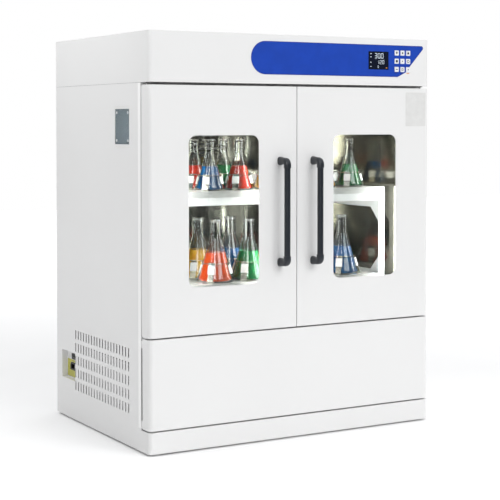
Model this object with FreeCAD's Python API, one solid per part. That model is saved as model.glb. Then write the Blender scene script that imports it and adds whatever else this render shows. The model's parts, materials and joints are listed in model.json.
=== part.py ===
import FreeCAD, Part
import math
import os

# Upright incubated shaker with two doors, in millimetres, +Z up, front towards -Y.
# The origin is on the floor, under the centre of the outline with the door handles counted.

# Cabinet
side_wall_thickness = 89.0
rear_gap = 22.0
skirt_clearance = 7.0
sheet = 1.5
corner_radius = 15.0
panel_gap = 5.5
hood_gap = 9.0
door_centre_gap = 3.0
skin_seam = 1.0
return_width = 15.0
plinth_seam_height = 83.0
sill_depth = 82.0
roof_thickness = 62.0

# Clearances
fit_gap = 0.3
run_fit = 0.05
overrun = 5.0

# Doors
door_thickness = 53.0
seal_gap = 8.0
gasket_width = 14.0
gasket_inset = 12.0
window_radius = 32.0
window_reveal = 30.0
window_bottom_margin = 163.0
window_top_margin = 173.0
window_side_margin = 148.0
window_centre_margin = 153.0
glass_thickness = 4.0
glass_overlap = 9.0

# Door handles
handle_reach = 60.0
handle_bottom_margin = 222.0
handle_length = 389.0
handle_offset = 69.0
handle_bar_radius = 11.0
handle_bracket_width = 24.0
handle_bracket_height = 40.0
handle_bracket_neck = 20.0
handle_bend_radius = 18.0

# Hinges
hinge_inset = 12.0
hinge_pin_radius = 4.0
hinge_pin_engagement = 15.0
hinge_plate_thickness = 3.0
hinge_plate_half_width = 9.0

# Base frame and door frame
tube_size = 25.0
tube_wall = 2.0
frame_bottom_height = 32.0
foot_plate_size = 66.0
foot_plate_thickness = 4.0
base_pan_thickness = 2.0
deck_thickness = 8.0
door_frame_thickness = 14.0
sill_drop = 10.0
mullion_width = 58.0
foot_radius = 18.0
foot_pad_height = 10.0
foot_nut_width = 20.0
foot_nut_sides = 6

# Side vents, rear vents and duct slots
vent_rows = 5
vent_end_gap = 1.0
vent_row_pitch = 48.3
vent_column_pitch = 24.8
vent_first_height = 121.0
vent_start_depth = 160.0
vent_slot_height = 33.0
vent_slot_width = 8.0
right_vent_rows = 4
right_vent_columns = 2
right_vent_row_pitch = 24.0
right_vent_width = 150.0
right_vent_height = 10.0
right_vent_pitch = 190.0
rear_vent_rows = 4
rear_vent_columns = 2

# Chamber
chamber_side_gap = 36.0
ceiling_room = 135.0
plenum_depth = 65.0
floor_insulation = 42.0
rear_insulation = 40.0
duct_slot_length = 100.0
duct_slot_width = 9.0
duct_slot_count = 6
duct_slot_pitch = 145.0
duct_row_margin = 40.0
duct_eye_radius = 60.0
duct_eye_slots = 7

# Side window
side_window_depth = 213.0
side_window_drop = 84.5
side_window_width = 118.0
side_window_tall = 123.0
side_window_radius = 6.0
side_window_border = 10.0
side_window_sleeve = 2.0

# Recessed pocket with switch and inlet
pocket_rear_margin = 51.0
pocket_length = 128.0
pocket_bottom_height = 152.0
pocket_tall = 106.0
pocket_reach = 22.0
inlet_width = 50.0
inlet_tall = 28.0
inlet_corner = 8.0
inlet_stand = 5.0
inlet_body_depth = 24.0
inlet_rim = 5.0
inlet_cavity_depth = 16.0
inlet_height_in_pocket = 46.0
inlet_pin_width = 2.0
inlet_pin_tall = 5.0
inlet_pin_spacing = 9.0
switch_height_in_pocket = 84.0
switch_width = 26.0
switch_tall = 15.0
switch_rim = 3.0
switch_bezel_stand = 3.0
switch_stand = 5.0
switch_depth = 9.0
switch_pivot_radius = 1.6
switch_tilt = 8.0

# Control panel
overlay_length = 745.0
overlay_tall = 117.0
overlay_slant = 130.0
overlay_end_margin = 29.0
overlay_bottom_margin = 37.0
overlay_top_margin = 24.0
overlay_corner_radius = 8.0
overlay_thickness = 0.6
display_end_gap = 247.5
display_width = 90.5
display_rise = 26.0
display_tall = 66.5
display_flange = 6.0
display_thickness = 2.0
key_size = 18.5
key_bevel = 2.0
key_stand = 1.4
key_travel = 0.8
key_flange = 2.0
key_flange_thickness = 1.5
key_display_gap = 27.25
key_column_pitch = 26.25
key_first_row_rise = 89.0
key_row_pitch = 30.5
board_setback = 14.0
board_thickness = 1.6
board_margin = 14.0
board_post_size = 6.0
key_switch_size = 9.0

# Cradle and trays
cradle_side_room = 97.0
cradle_setback = 55.0
cradle_rear_gap = 25.0
cradle_float = 3.0
cradle_sheet = 3.0
post_flange = 25.0
post_web = 32.0
beam_height = 27.0
beam_depth = 30.0
side_rail_height = 58.0
side_gusset = 55.0
base_plate_thickness = 6.0
joist_spacing = 400.0
tray_sheet = 2.0
tray_lip = 23.0
flask_head_room = 60.0

# Flasks and clamps: small on the upper tray, large on the lower tray
upper_columns = 6
upper_rows = 4
upper_pitch = 121.0
lower_columns = 5
lower_rows = 3
lower_pitch = 137.0
first_row_setback = 62.0
last_row_setback = 110.0
tier_setback = 38.0
small_flask_radius = 52.5
small_flask_height = 180.0
small_neck_radius = 17.0
large_flask_radius = 65.5
large_flask_height = 220.0
large_neck_radius = 21.0
flask_cone_share = 0.72
flask_sides = 10
flask_lip = 3.0
flask_lip_height = 5.0
clamp_strip = 14.0
clamp_sheet = 1.5
clamp_arm_share = 0.26
clamp_gap = 1.0
clamp_turn_angle = 45.0
upper_filled = ((0, 0), (1, 0), (2, 0), (3, 0), (4, 0), (5, 0), (0, 1), (1, 1), (4, 3), (5, 2))
lower_filled = ((0, 0), (1, 0), (2, 0), (3, 0), (4, 0), (0, 1), (1, 1), (3, 2), (4, 2))

# Drive: one driven crank and two idlers carry the cradle on eccentric pins
orbit_radius = 13.0
main_crank_advance = 60.0
idler_setback = 100.0
idler_inset = 160.0
shaft_radius = 15.0
crank_pin_radius = 10.0
crank_head_rim = 8.0
crank_head_thickness = 10.0
crank_head_clearance = 6.0
crank_pin_length = 24.0
boss_wall = 10.0
boss_height = 26.0
housing_length = 118.0
idler_housing_length = 82.0
housing_wall = 17.0
housing_flange = 18.0
housing_flange_thickness = 8.0
neck_wall = 6.0
neck_stand = 3.0
pulley_radius = 90.0
pulley_sides = 24
pulley_height = 24.0
pulley_rim = 5.0
pulley_flange_thickness = 3.0
pulley_gap = 4.0
pulley_rise = 47.5
counterweight_radius = 78.0
counterweight_corner = 40.0
counterweight_height = 26.0
belt_thickness = 4.0
belt_gap = 0.9
belt_steps = 18
belt_height = 16.0
motor_pulley_radius = 35.0
motor_distance = 235.0
motor_radius = 58.0
motor_sides = 12
motor_height = 150.0
motor_foot_size = 140.0
motor_foot_thickness = 12.0
motor_shaft_radius = 9.0
motor_shaft_depth = 30.0
motor_cap_height = 14.0

# Air and cooling
fan_drop = 140.0
fan_radius = 72.0
fan_width = 36.0
fan_hub_radius = 20.0
fan_blades = 9
fan_blade_thickness = 2.0
fan_blade_share = 0.55
fan_backplate = 2.0
fan_wall_gap = 8.0
fan_motor_radius = 42.0
fan_motor_length = 52.0
fan_shaft_radius = 5.0
heater_width = 420.0
heater_height = 36.0
heater_thickness = 10.0
heater_drop = 155.0
heater_fins = 7
heater_fin_stand = 8.0
coil_width = 420.0
coil_height = 200.0
coil_thickness = 44.0
coil_plate = 3.0
coil_pipe_radius = 6.0
coil_pipe_sides = 8
evaporator_gap = 65.0
condenser_width = 360.0
condenser_height = 230.0
condenser_thickness = 50.0
condenser_start_depth = 190.0
condenser_side_gap = 14.0
cooling_fan_radius = 95.0
cooling_fan_width = 26.0
cooling_fan_blades = 5
cooling_blade_thickness = 3.0
cooling_blade_pitch_angle = 32.0
cooling_fan_gap = 14.0
cooling_motor_radius = 34.0
cooling_motor_length = 55.0
bracket_thickness = 4.0
compressor_radius = 86.0
compressor_height = 190.0
compressor_dome = 24.0
compressor_sides = 20
compressor_plate = 3.0
compressor_foot_height = 18.0
compressor_foot_size = 22.0
compressor_side_margin = 235.0
compressor_rear_margin = 260.0
lamp_length = 500.0
lamp_width = 28.0
lamp_height = 14.0
lamp_setback = 30.0

# Sizes that the values above give, from what the cabinet holds outwards
cradle_width = max(upper_columns * upper_pitch, lower_columns * lower_pitch) + 2 * cradle_side_room
chamber_width = cradle_width + 2 * chamber_side_gap
cabinet_width = chamber_width + 2 * side_wall_thickness
upper_rows_depth = (upper_rows - 1) * upper_pitch
lower_rows_depth = (lower_rows - 1) * lower_pitch + (lower_pitch - upper_pitch) / 2
cradle_depth = first_row_setback + max(upper_rows_depth, lower_rows_depth) + last_row_setback
chamber_depth = cradle_setback + cradle_depth + cradle_rear_gap
door_depth = door_thickness + seal_gap + door_frame_thickness
cabinet_depth = door_depth + chamber_depth + plenum_depth + 2 * sheet + rear_insulation + rear_gap
window_width = cabinet_width / 2 - window_side_margin - window_centre_margin
idler_spread = cradle_width / 2 - idler_inset
compressor_x = cabinet_width / 2 - compressor_side_margin
compressor_setback = cabinet_depth - compressor_rear_margin
pocket_start_depth = cabinet_depth - pocket_rear_margin - pocket_length
vent_room = pocket_start_depth - vent_start_depth - vent_slot_width - vent_end_gap
vent_columns = int(vent_room / vent_column_pitch) + 1
overlay_end_top = cabinet_width - overlay_end_margin
overlay_end_bottom = overlay_end_top - overlay_slant
overlay_start = overlay_end_top - overlay_length
display_start = overlay_end_top - display_end_gap
key_first_column = display_start + display_width + key_display_gap + key_size / 2

# Heights that the values above give, from the floor upwards
z_pan_bottom = frame_bottom_height + tube_size
z_pan_top = z_pan_bottom + base_pan_thickness
z_motor_top = z_pan_top + motor_foot_thickness + motor_height + motor_cap_height
z_pulley_bottom = z_motor_top + pulley_rise
z_pulley_top = z_pulley_bottom + pulley_height
z_pulley_middle = (z_pulley_top + z_pulley_bottom) / 2
z_housing_bottom = z_pulley_top + pulley_gap
z_deck_bottom = z_housing_bottom + housing_length
z_deck_top = z_deck_bottom + deck_thickness
chamber_floor_height = z_deck_top + floor_insulation + sheet
z_head_top = chamber_floor_height + crank_head_clearance + crank_head_thickness
z_base_plate_bottom = z_head_top + cradle_float
z_cradle_bottom = z_base_plate_bottom + base_plate_thickness
z_lower_beam_top = z_cradle_bottom + beam_height
lower_tray_height = z_lower_beam_top + tray_lip
z_upper_beam_top = lower_tray_height + large_flask_height + flask_head_room + beam_height
upper_tray_height = z_upper_beam_top + tray_lip
chamber_ceiling_height = upper_tray_height + small_flask_height + ceiling_room
door_seam_height = chamber_floor_height - sill_depth
hood_seam_height = chamber_ceiling_height + roof_thickness
overlay_bottom_height = hood_seam_height + overlay_bottom_margin
overlay_top_height = overlay_bottom_height + overlay_tall
cabinet_height = overlay_top_height + overlay_top_margin
display_bottom_height = overlay_bottom_height + display_rise
key_first_row_height = overlay_bottom_height + key_first_row_rise
window_bottom_height = door_seam_height + window_bottom_margin
window_height = hood_seam_height - window_top_margin - window_bottom_height
handle_bottom_height = door_seam_height + handle_bottom_margin
side_window_height = chamber_ceiling_height - side_window_drop
fan_height = chamber_ceiling_height - fan_drop
heater_level = fan_height - heater_drop
evaporator_level = heater_level - evaporator_gap - coil_height

# Planes and places that the sizes give
half_width = cabinet_width / 2
y_front = handle_reach - (cabinet_depth + handle_reach) / 2
y_rear = y_front + cabinet_depth
y_door_back = y_front + door_thickness
y_seal = y_door_back + seal_gap
y_frame = y_seal + door_frame_thickness
y_duct = y_frame + chamber_depth
y_liner_rear = y_duct + sheet + plenum_depth
y_insulation_rear = y_liner_rear + sheet + rear_insulation
z_plinth_top = plinth_seam_height - panel_gap / 2
z_lower_bottom = plinth_seam_height + panel_gap / 2
z_lower_top = door_seam_height - panel_gap / 2
z_door_bottom = door_seam_height + panel_gap / 2
z_door_top = hood_seam_height - hood_gap / 2
z_hood_bottom = hood_seam_height + hood_gap / 2
z_side_top = z_hood_bottom - skin_seam
z_ring_bottom = z_hood_bottom - tube_size
chamber_half = chamber_width / 2
skin_half = half_width - sheet
insulation_half = skin_half - tube_size
cradle_half = cradle_width / 2
cradle_x = orbit_radius
y_cradle_front = y_frame + cradle_setback
y_cradle_rear = y_cradle_front + cradle_depth
y_cradle_middle = (y_cradle_front + y_cradle_rear) / 2
main_crank = (0.0, y_cradle_middle - main_crank_advance)
idler_cranks = [
    (-idler_spread, y_cradle_middle + idler_setback),
    (idler_spread, y_cradle_middle + idler_setback),
]
motor_x = main_crank[0] - motor_distance
motor_y = main_crank[1]
key_columns = [key_first_column - half_width + i * key_column_pitch for i in range(3)]
key_rows = [key_first_row_height - i * key_row_pitch for i in range(3)]
key_half = key_size / 2
display_left = display_start - half_width
display_right = display_left + display_width
display_top = display_bottom_height + display_tall
z_inlet = pocket_bottom_height + inlet_height_in_pocket
z_switch = pocket_bottom_height + switch_height_in_pocket
y_pocket = y_front + pocket_start_depth + pocket_length / 2
x_pocket_wall = -half_width + pocket_reach


# Building blocks


def point(plane, u, v, w):
    """A point of a flat outline: u and v lie in the plane, w is the distance along its normal."""
    if plane == "xy":
        return FreeCAD.Vector(u, v, w)
    if plane == "xz":
        return FreeCAD.Vector(u, w, v)
    return FreeCAD.Vector(w, u, v)


def box(x0, x1, y0, y1, z0, z1):
    low = FreeCAD.Vector(min(x0, x1), min(y0, y1), min(z0, z1))
    high = FreeCAD.Vector(max(x0, x1), max(y0, y1), max(z0, z1))
    size = high - low
    return Part.makeBox(size.x, size.y, size.z, low)


def cylinder(axis, u, v, radius, low, high):
    """A round bar along an axis: u and v are its two other coordinates, in the order x, y, z."""
    start, end = min(low, high), max(low, high)
    base = {"x": (start, u, v), "y": (u, start, v), "z": (u, v, start)}[axis]
    way = {"x": (1, 0, 0), "y": (0, 1, 0), "z": (0, 0, 1)}[axis]
    return Part.makeCylinder(radius, end - start, FreeCAD.Vector(*base), FreeCAD.Vector(*way))


def rectangle(u0, u1, v0, v1, radius=0.0):
    return [(u0, v0, radius), (u1, v0, radius), (u1, v1, radius), (u0, v1, radius)]


def polygon(u, v, radius, sides):
    """The corners of a regular polygon, the first one straight out along u."""
    angles = [2 * math.pi * i / sides for i in range(sides)]
    return [(u + radius * math.cos(angle), v + radius * math.sin(angle)) for angle in angles]


def corner_arc(before, corner, after, radius):
    """The tangent points and the middle of the arc that rounds one corner of an outline."""
    towards_before = (before - corner).normalize()
    towards_after = (after - corner).normalize()
    half_angle = towards_before.getAngle(towards_after) / 2
    bisector = (towards_before + towards_after).normalize()
    tangent = radius / math.tan(half_angle)
    start = corner + towards_before * tangent
    end = corner + towards_after * tangent
    middle = corner + bisector * (radius / math.sin(half_angle) - radius)
    return start, middle, end


def prism(plane, corners, low, high):
    """An outline of (u, v) or (u, v, radius) corners, extruded from low to high."""
    count = len(corners)
    places = [point(plane, corner[0], corner[1], low) for corner in corners]
    ends = []
    for i in range(count):
        radius = corners[i][2] if len(corners[i]) > 2 else 0.0
        if radius > 0:
            ends.append(corner_arc(places[i - 1], places[i], places[(i + 1) % count], radius))
        else:
            ends.append((places[i], None, places[i]))
    edges = []
    for i in range(count):
        start, middle, end = ends[i]
        following = ends[(i + 1) % count][0]
        if middle is not None:
            edges.append(Part.Arc(start, middle, end).toShape())
        if end.distanceToPoint(following) > run_fit:
            edges.append(Part.LineSegment(end, following).toShape())
    reach = point(plane, 0, 0, high) - point(plane, 0, 0, low)
    return Part.Face(Part.Wire(edges)).extrude(reach)


def tube_bar(axis, x0, x1, y0, y1, z0, z1):
    """A square tube along an axis, open at both ends."""
    grow = {"x": (-overrun, tube_wall, tube_wall), "y": (tube_wall, -overrun, tube_wall)}
    grow["z"] = (tube_wall, tube_wall, -overrun)
    gx, gy, gz = grow[axis]
    inside = box(x0 + gx, x1 - gx, y0 + gy, y1 - gy, z0 + gz, z1 - gz)
    return box(x0, x1, y0, y1, z0, z1).cut(inside)


def fused(shapes):
    return shapes[0].fuse(shapes[1:]).removeSplitter()


def cut_all(shape, tools):
    return shape.cut(Part.makeCompound(tools)) if tools else shape


def group(shapes):
    """Separate solids that share one node."""
    return Part.makeCompound([solid for shape in shapes for solid in shape.Solids])


# Cabinet skins


def front_rounded_body(half, front, rear, bottom, top, radius):
    """A body across the cabinet's width whose two front upright edges are rounded."""
    corners = [(-half, front, radius), (half, front, radius), (half, rear), (-half, rear)]
    return prism("xy", corners, bottom, top)


def key_openings(depth_low, depth_high, gap):
    """Square openings for the nine keys."""
    reach = key_half + gap
    cuts = []
    for x in key_columns:
        for z in key_rows:
            cuts.append(box(x - reach, x + reach, depth_low, depth_high, z - reach, z + reach))
    return cuts


def display_opening(depth_low, depth_high, gap):
    sides = (display_left - gap, display_right + gap)
    return box(*sides, depth_low, depth_high, display_bottom_height - gap, display_top + gap)


def make_hood_shell():
    outer = front_rounded_body(half_width, y_front, y_rear, z_hood_bottom, cabinet_height, corner_radius)
    inner = front_rounded_body(
        skin_half,
        y_front + sheet,
        y_rear - sheet,
        z_hood_bottom + sheet,
        cabinet_height - sheet,
        corner_radius - sheet,
    )
    mouth = box(
        -insulation_half,
        insulation_half,
        y_frame + tube_size,
        y_rear - sheet - tube_size,
        z_hood_bottom - overrun,
        z_hood_bottom + sheet + overrun,
    )
    cuts = key_openings(y_front - overrun, y_front + sheet + overrun, fit_gap)
    cuts.append(display_opening(y_front - overrun, y_front + sheet + overrun, fit_gap))
    return cut_all(outer.cut(inner).cut(mouth), cuts)


def side_skin(side):
    """A flat side skin with its rear and bottom returns, and the tongue beside the plinth."""
    outer = side * half_width
    inner = side * skin_half
    turned = side * (half_width - return_width)
    y_side = y_seal + skin_seam
    y_tongue = y_front + corner_radius + skin_seam
    shapes = [
        box(outer, inner, y_side, y_rear, skirt_clearance, z_side_top),
        box(outer, inner, y_tongue, y_side, skirt_clearance, z_plinth_top),
        box(outer, turned, y_rear - sheet, y_rear, skirt_clearance, z_side_top),
        box(outer, turned, y_frame + skin_seam, y_rear, skirt_clearance, skirt_clearance + sheet),
    ]
    return fused(shapes)


def side_window_outline(grow, radius=0.0):
    y = y_front + side_window_depth
    half_length = side_window_width / 2 + grow
    half_tall = side_window_tall / 2 + grow
    ends = (side_window_height - half_tall, side_window_height + half_tall)
    return rectangle(y - half_length, y + half_length, *ends, radius)


def make_left_side_panel():
    cuts = []
    x_low, x_high = -half_width - overrun, -skin_half + overrun
    for row in range(vent_rows):
        z = vent_first_height + row * vent_row_pitch
        for column in range(vent_columns):
            y = y_front + vent_start_depth + column * vent_column_pitch
            cuts.append(box(x_low, x_high, y, y + vent_slot_width, z, z + vent_slot_height))
    border = side_window_outline(side_window_border, side_window_radius)
    cuts.append(prism("yz", border, x_low, x_high))
    half_length = pocket_length / 2
    top = pocket_bottom_height + pocket_tall
    y0, y1 = y_pocket - half_length, y_pocket + half_length
    cuts.append(box(x_low, x_high, y0, y1, pocket_bottom_height, top))
    return cut_all(side_skin(-1), cuts)


def make_right_side_panel():
    cuts = []
    x_low, x_high = skin_half - overrun, half_width + overrun
    for row in range(right_vent_rows):
        z = vent_first_height + row * right_vent_row_pitch
        for column in range(right_vent_columns):
            y = y_front + vent_start_depth + column * right_vent_pitch
            cuts.append(box(x_low, x_high, y, y + right_vent_width, z, z + right_vent_height))
    return cut_all(side_skin(1), cuts)


def make_rear_panel():
    half = half_width - return_width - skin_seam
    plate = box(-half, half, y_rear - sheet, y_rear, skirt_clearance, z_side_top)
    cuts = []
    for row in range(rear_vent_rows):
        z = vent_first_height + row * right_vent_row_pitch
        for column in range(rear_vent_columns):
            x = (column - (rear_vent_columns - 1) / 2) * right_vent_pitch
            reach = right_vent_width / 2
            ends = (x - reach, x + reach, y_rear - sheet - overrun, y_rear + overrun)
            cuts.append(box(*ends, z, z + right_vent_height))
    return cut_all(plate, cuts)


def make_front_plinth():
    """A skirt panel: rounded at both ends, then stepped in behind the tongues of the side skins."""
    y_step = y_front + corner_radius
    bodies = []
    for inset in (0.0, sheet):
        half = half_width - inset
        tail = half - sheet - skin_seam
        rear = y_frame + (overrun if inset else 0.0)
        radius = corner_radius - 2 * skin_seam - inset
        corners = [
            (-half, y_front + inset, radius),
            (half, y_front + inset, radius),
            (half, y_step - inset),
            (tail, y_step - inset),
            (tail, rear),
            (-tail, rear),
            (-tail, y_step - inset),
            (-half, y_step - inset),
        ]
        bodies.append(prism("xy", corners, skirt_clearance + inset, z_plinth_top - inset))
    return bodies[0].cut(bodies[1])


def make_lower_front_panel():
    """A service cover folded like a shallow pan, held off the frame by four hook blocks."""
    outer = front_rounded_body(half_width, y_front, y_door_back, z_lower_bottom, z_lower_top, corner_radius)
    inner = front_rounded_body(
        skin_half,
        y_front + sheet,
        y_door_back + overrun,
        z_lower_bottom + sheet,
        z_lower_top - sheet,
        corner_radius - sheet,
    )
    shapes = [outer.cut(inner)]
    reach = tube_size / 2
    z_sill = door_seam_height - sill_drop
    y_start = y_seal - door_thickness / 2
    for side in (-1, 1):
        ends = (side * skin_half, side * (skin_half - reach))
        for z in (z_lower_bottom + sheet, z_sill - skin_seam - tube_size):
            shapes.append(box(*ends, y_start, y_frame, z, z + tube_size))
    return group(shapes)


# Welded frame, deck and feet


def make_base_frame():
    """Square tubes: bottom ring, mid ring under the deck, top ring under the hood, and four posts."""
    y0, y1 = y_frame, y_rear - sheet
    shapes = []
    for bottom in (frame_bottom_height, z_deck_bottom - tube_size, z_ring_bottom):
        top = bottom + tube_size
        inner = insulation_half
        is_middle = bottom == z_deck_bottom - tube_size
        side_start = y0 + tube_size if is_middle else y0
        side_end = y1 - tube_size if is_middle else y1
        for side in (-1, 1):
            ends = sorted((side * inner, side * skin_half))
            shapes.append(tube_bar("y", *ends, side_start, side_end, bottom, top))
        shapes.append(tube_bar("x", -inner, inner, y0, y0 + tube_size, bottom, top))
        shapes.append(tube_bar("x", -inner, inner, y1 - tube_size, y1, bottom, top))
    for side in (-1, 1):
        for y in (y0, y1 - tube_size):
            ends = sorted((side * insulation_half, side * skin_half))
            shapes.append(tube_bar("z", *ends, y, y + tube_size, z_pan_bottom, z_ring_bottom))
    shapes.append(box(-skin_half, skin_half, y0 + tube_size, y1 - tube_size, z_pan_bottom, z_pan_top))
    shapes.append(make_drive_deck(y0 + tube_size, y1 - tube_size))
    for side in (-1, 1):
        for y in (y0, y1 - foot_plate_size):
            inner = side * (skin_half - foot_plate_size)
            low = frame_bottom_height - foot_plate_thickness
            shapes.append(box(side * skin_half, inner, y, y + foot_plate_size, low, frame_bottom_height))
    return group(shapes)


def crank_openings(low, high):
    """Square holes that the necks of the three crank housings pass through."""
    reach = shaft_radius + neck_wall + fit_gap
    holes = []
    for x, y in [main_crank] + idler_cranks:
        holes.append(box(x - reach, x + reach, y - reach, y + reach, low - overrun, high + overrun))
    return holes


def make_drive_deck(front, rear):
    """A thick plate on the mid ring, holed for the three crank housings."""
    deck = box(-skin_half, skin_half, front, rear, z_deck_bottom, z_deck_top)
    return cut_all(deck, crank_openings(z_deck_bottom, z_deck_top))


def make_levelling_feet():
    """Four pads, each under a hexagonal stem that screws into the frame's foot plate."""
    shapes = []
    top = frame_bottom_height - foot_plate_thickness
    for side in (-1, 1):
        for y in (y_frame + foot_plate_size / 2, y_rear - sheet - foot_plate_size / 2):
            x = side * (skin_half - foot_plate_size / 2)
            pad = polygon(x, y, foot_radius, 2 * foot_nut_sides)
            stem = polygon(x, y, foot_nut_width / 2, foot_nut_sides)
            shapes.append(prism("xy", pad, 0, foot_pad_height))
            shapes.append(prism("xy", stem, foot_pad_height, top))
    return group(shapes)


def make_door_frame():
    """The flat face that the door gaskets close on, with a centre post."""
    outer, inner, post = skin_half, chamber_half, mullion_width / 2
    low, high = chamber_floor_height, chamber_ceiling_height
    shapes = [
        box(-outer, outer, y_seal, y_frame, door_seam_height - sill_drop, low),
        box(-outer, outer, y_seal, y_frame, high, z_hood_bottom),
        box(-outer, -inner, y_seal, y_frame, low, high),
        box(inner, outer, y_seal, y_frame, low, high),
        box(-post, post, y_seal, y_frame, low, high),
    ]
    return group(shapes)


def hinge_axis(side):
    return side * (half_width - hinge_inset), y_door_back - hinge_inset


def make_door_hinges():
    """Four flat plates with pins: under the hood, and on the sill below the doors."""
    shapes = []
    for side in (-1, 1):
        x, y = hinge_axis(side)
        sides = sorted((x - hinge_plate_half_width, x + hinge_plate_half_width))
        front = y - hinge_plate_half_width
        bevel = hinge_plate_half_width / 2
        outline = [
            (sides[0] + bevel, front),
            (sides[1] - bevel, front),
            (sides[1], front + bevel),
            (sides[1], y_seal),
            (sides[0], y_seal),
            (sides[0], front + bevel),
        ]
        top_plate = prism("xy", outline, z_hood_bottom - hinge_plate_thickness, z_hood_bottom)
        pin_top = z_hood_bottom - hinge_plate_thickness
        top_pin = cylinder("z", x, y, hinge_pin_radius, z_door_top - hinge_pin_engagement, pin_top)
        plate_top = z_door_bottom - fit_gap
        low_plate = prism("xy", outline, plate_top - hinge_plate_thickness, plate_top)
        low_pin = cylinder("z", x, y, hinge_pin_radius, plate_top, z_door_bottom + hinge_pin_engagement)
        shapes.extend([top_plate, top_pin, low_plate, low_pin])
    return group(shapes)


# Doors


def door_body(side, inset, front, rear, radius):
    """The block that one door fills, inset on its four edges."""
    outer = side * (half_width - inset)
    inner = side * (door_centre_gap / 2 + inset)
    corners = [(outer, front, radius), (inner, front), (inner, rear), (outer, rear)]
    return prism("xy", corners, z_door_bottom + inset, z_door_top - inset)


def window_outline(side, grow, radius):
    near = side * (half_width - window_side_margin + grow)
    far = side * (half_width - window_side_margin - window_width - grow)
    low, high = sorted((near, far))
    bottom = window_bottom_height - grow
    top = window_bottom_height + window_height + grow
    return rectangle(low, high, bottom, top, radius)


def hinge_bore(side):
    x, y = hinge_axis(side)
    radius = hinge_pin_radius + run_fit
    reach = hinge_pin_engagement + fit_gap
    low = cylinder("z", x, y, radius, z_door_bottom - overrun, z_door_bottom + reach)
    high = cylinder("z", x, y, radius, z_door_top - reach, z_door_top + overrun)
    return [low, high]


def make_door_skin(side):
    """A folded sheet pan, open to the rear, with its window, and a notch for each hinge pin."""
    outer = door_body(side, 0.0, y_front, y_door_back, corner_radius)
    inner = door_body(side, sheet, y_front + sheet, y_door_back + overrun, corner_radius - sheet)
    outline = window_outline(side, 0.0, window_radius)
    window = prism("xz", outline, y_front - overrun, y_front + sheet + overrun)
    x, y = hinge_axis(side)
    reach = hinge_pin_radius + fit_gap
    sides = (x - reach, x + reach, y - reach, y_door_back + overrun)
    low_notch = box(*sides, z_door_bottom - overrun, z_door_bottom + sheet)
    high_notch = box(*sides, z_door_top - sheet, z_door_top + overrun)
    return cut_all(outer.cut(inner), [window, low_notch, high_notch])


def make_door_liner(side):
    """The foamed inner door: it fills the pan, and has a rebate for each pane of glass."""
    chamfer = corner_radius
    outer = side * (skin_half)
    inner = side * (door_centre_gap / 2 + sheet)
    front = y_front + sheet
    corners = [(outer - side * chamfer, front), (inner, front), (inner, y_door_back), (outer, y_door_back)]
    corners.append((outer, front + chamfer))
    block = prism("xy", corners, z_door_bottom + sheet, z_door_top - sheet)
    outline = window_outline(side, window_reveal, window_radius + window_reveal)
    window = prism("xz", outline, front - overrun, y_door_back + overrun)
    seat = window_outline(side, window_reveal + glass_overlap, 0.0)
    outer_rebate = prism("xz", seat, front - overrun, front + glass_thickness)
    inner_rebate = prism("xz", seat, y_door_back - glass_thickness, y_door_back + overrun)
    return cut_all(block, [window, outer_rebate, inner_rebate] + hinge_bore(side))


def make_door_glass(side):
    """Double glazing: one pane behind the skin, one flush with the back of the door."""
    outline = window_outline(side, window_reveal + glass_overlap - fit_gap, 0.0)
    front = y_front + sheet
    outer = prism("xz", outline, front, front + glass_thickness)
    inner = prism("xz", outline, y_door_back - glass_thickness, y_door_back)
    return group([outer, inner])


def make_door_gasket(side):
    """Four mitred strips round the back of the door."""
    rear = y_seal - fit_gap
    outer = side * (half_width - gasket_inset)
    inner = side * (door_centre_gap / 2 + gasket_inset)
    low, high = z_door_bottom + gasket_inset, z_door_top - gasket_inset
    x_in = (outer - side * gasket_width, inner + side * gasket_width)
    z_in = (low + gasket_width, high - gasket_width)
    ring = [(outer, low), (inner, low), (inner, high), (outer, high)]
    hole = [(x_in[0], z_in[0]), (x_in[1], z_in[0]), (x_in[1], z_in[1]), (x_in[0], z_in[1])]
    strips = []
    for i in range(4):
        j = (i + 1) % 4
        strips.append(prism("xz", [ring[i], ring[j], hole[j], hole[i]], y_door_back, rear))
    return group(strips)


def make_door_handle(side):
    """A round bar held by two moulded brackets that curve out of the door."""
    x = side * handle_offset
    half = handle_bracket_width / 2
    y_out = y_front - handle_reach
    y_bar = y_out + half
    z0, z1 = handle_bottom_height, handle_bottom_height + handle_length
    shapes = []
    for end, inward in ((z0, 1), (z1, -1)):
        foot = end + inward * handle_bracket_height
        neck = end + inward * handle_bracket_neck
        outline = [
            (y_front, end),
            (y_out, end, handle_bend_radius),
            (y_out, foot),
            (y_out + handle_bracket_width, foot),
            (y_out + handle_bracket_width, neck),
            (y_front - handle_bracket_neck, neck),
            (y_front - handle_bracket_neck / 2, foot),
            (y_front, foot),
        ]
        shapes.append(prism("yz", outline, x - half, x + half))
    bar_low, bar_high = z0 + handle_bracket_height, z1 - handle_bracket_height
    shapes.append(cylinder("z", x, y_bar, handle_bar_radius, bar_low, bar_high))
    return group(shapes)


# Chamber


def make_chamber_liner():
    wide = chamber_half + sheet
    y1 = y_liner_rear + sheet
    low, high = chamber_floor_height, chamber_ceiling_height
    floor = cut_all(box(-wide, wide, y_frame, y1, low - sheet, low), crank_openings(low - sheet, low))
    ceiling = box(-wide, wide, y_frame, y1, high, high + sheet)
    sleeve = side_window_outline(side_window_sleeve)
    sleeve_hole = prism("yz", sleeve, -wide - overrun, -chamber_half + overrun)
    left = box(-wide, -chamber_half, y_frame, y1, low, high).cut(sleeve_hole)
    right = box(chamber_half, wide, y_frame, y1, low, high)
    reach = fan_shaft_radius + fit_gap
    hole_z = (fan_height - reach, fan_height + reach)
    shaft_hole = box(-reach, reach, y_liner_rear - overrun, y1 + overrun, *hole_z)
    rear = box(-chamber_half, chamber_half, y_liner_rear, y1, low, high).cut(shaft_hole)
    return group([floor, ceiling, left, right, rear])


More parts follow.
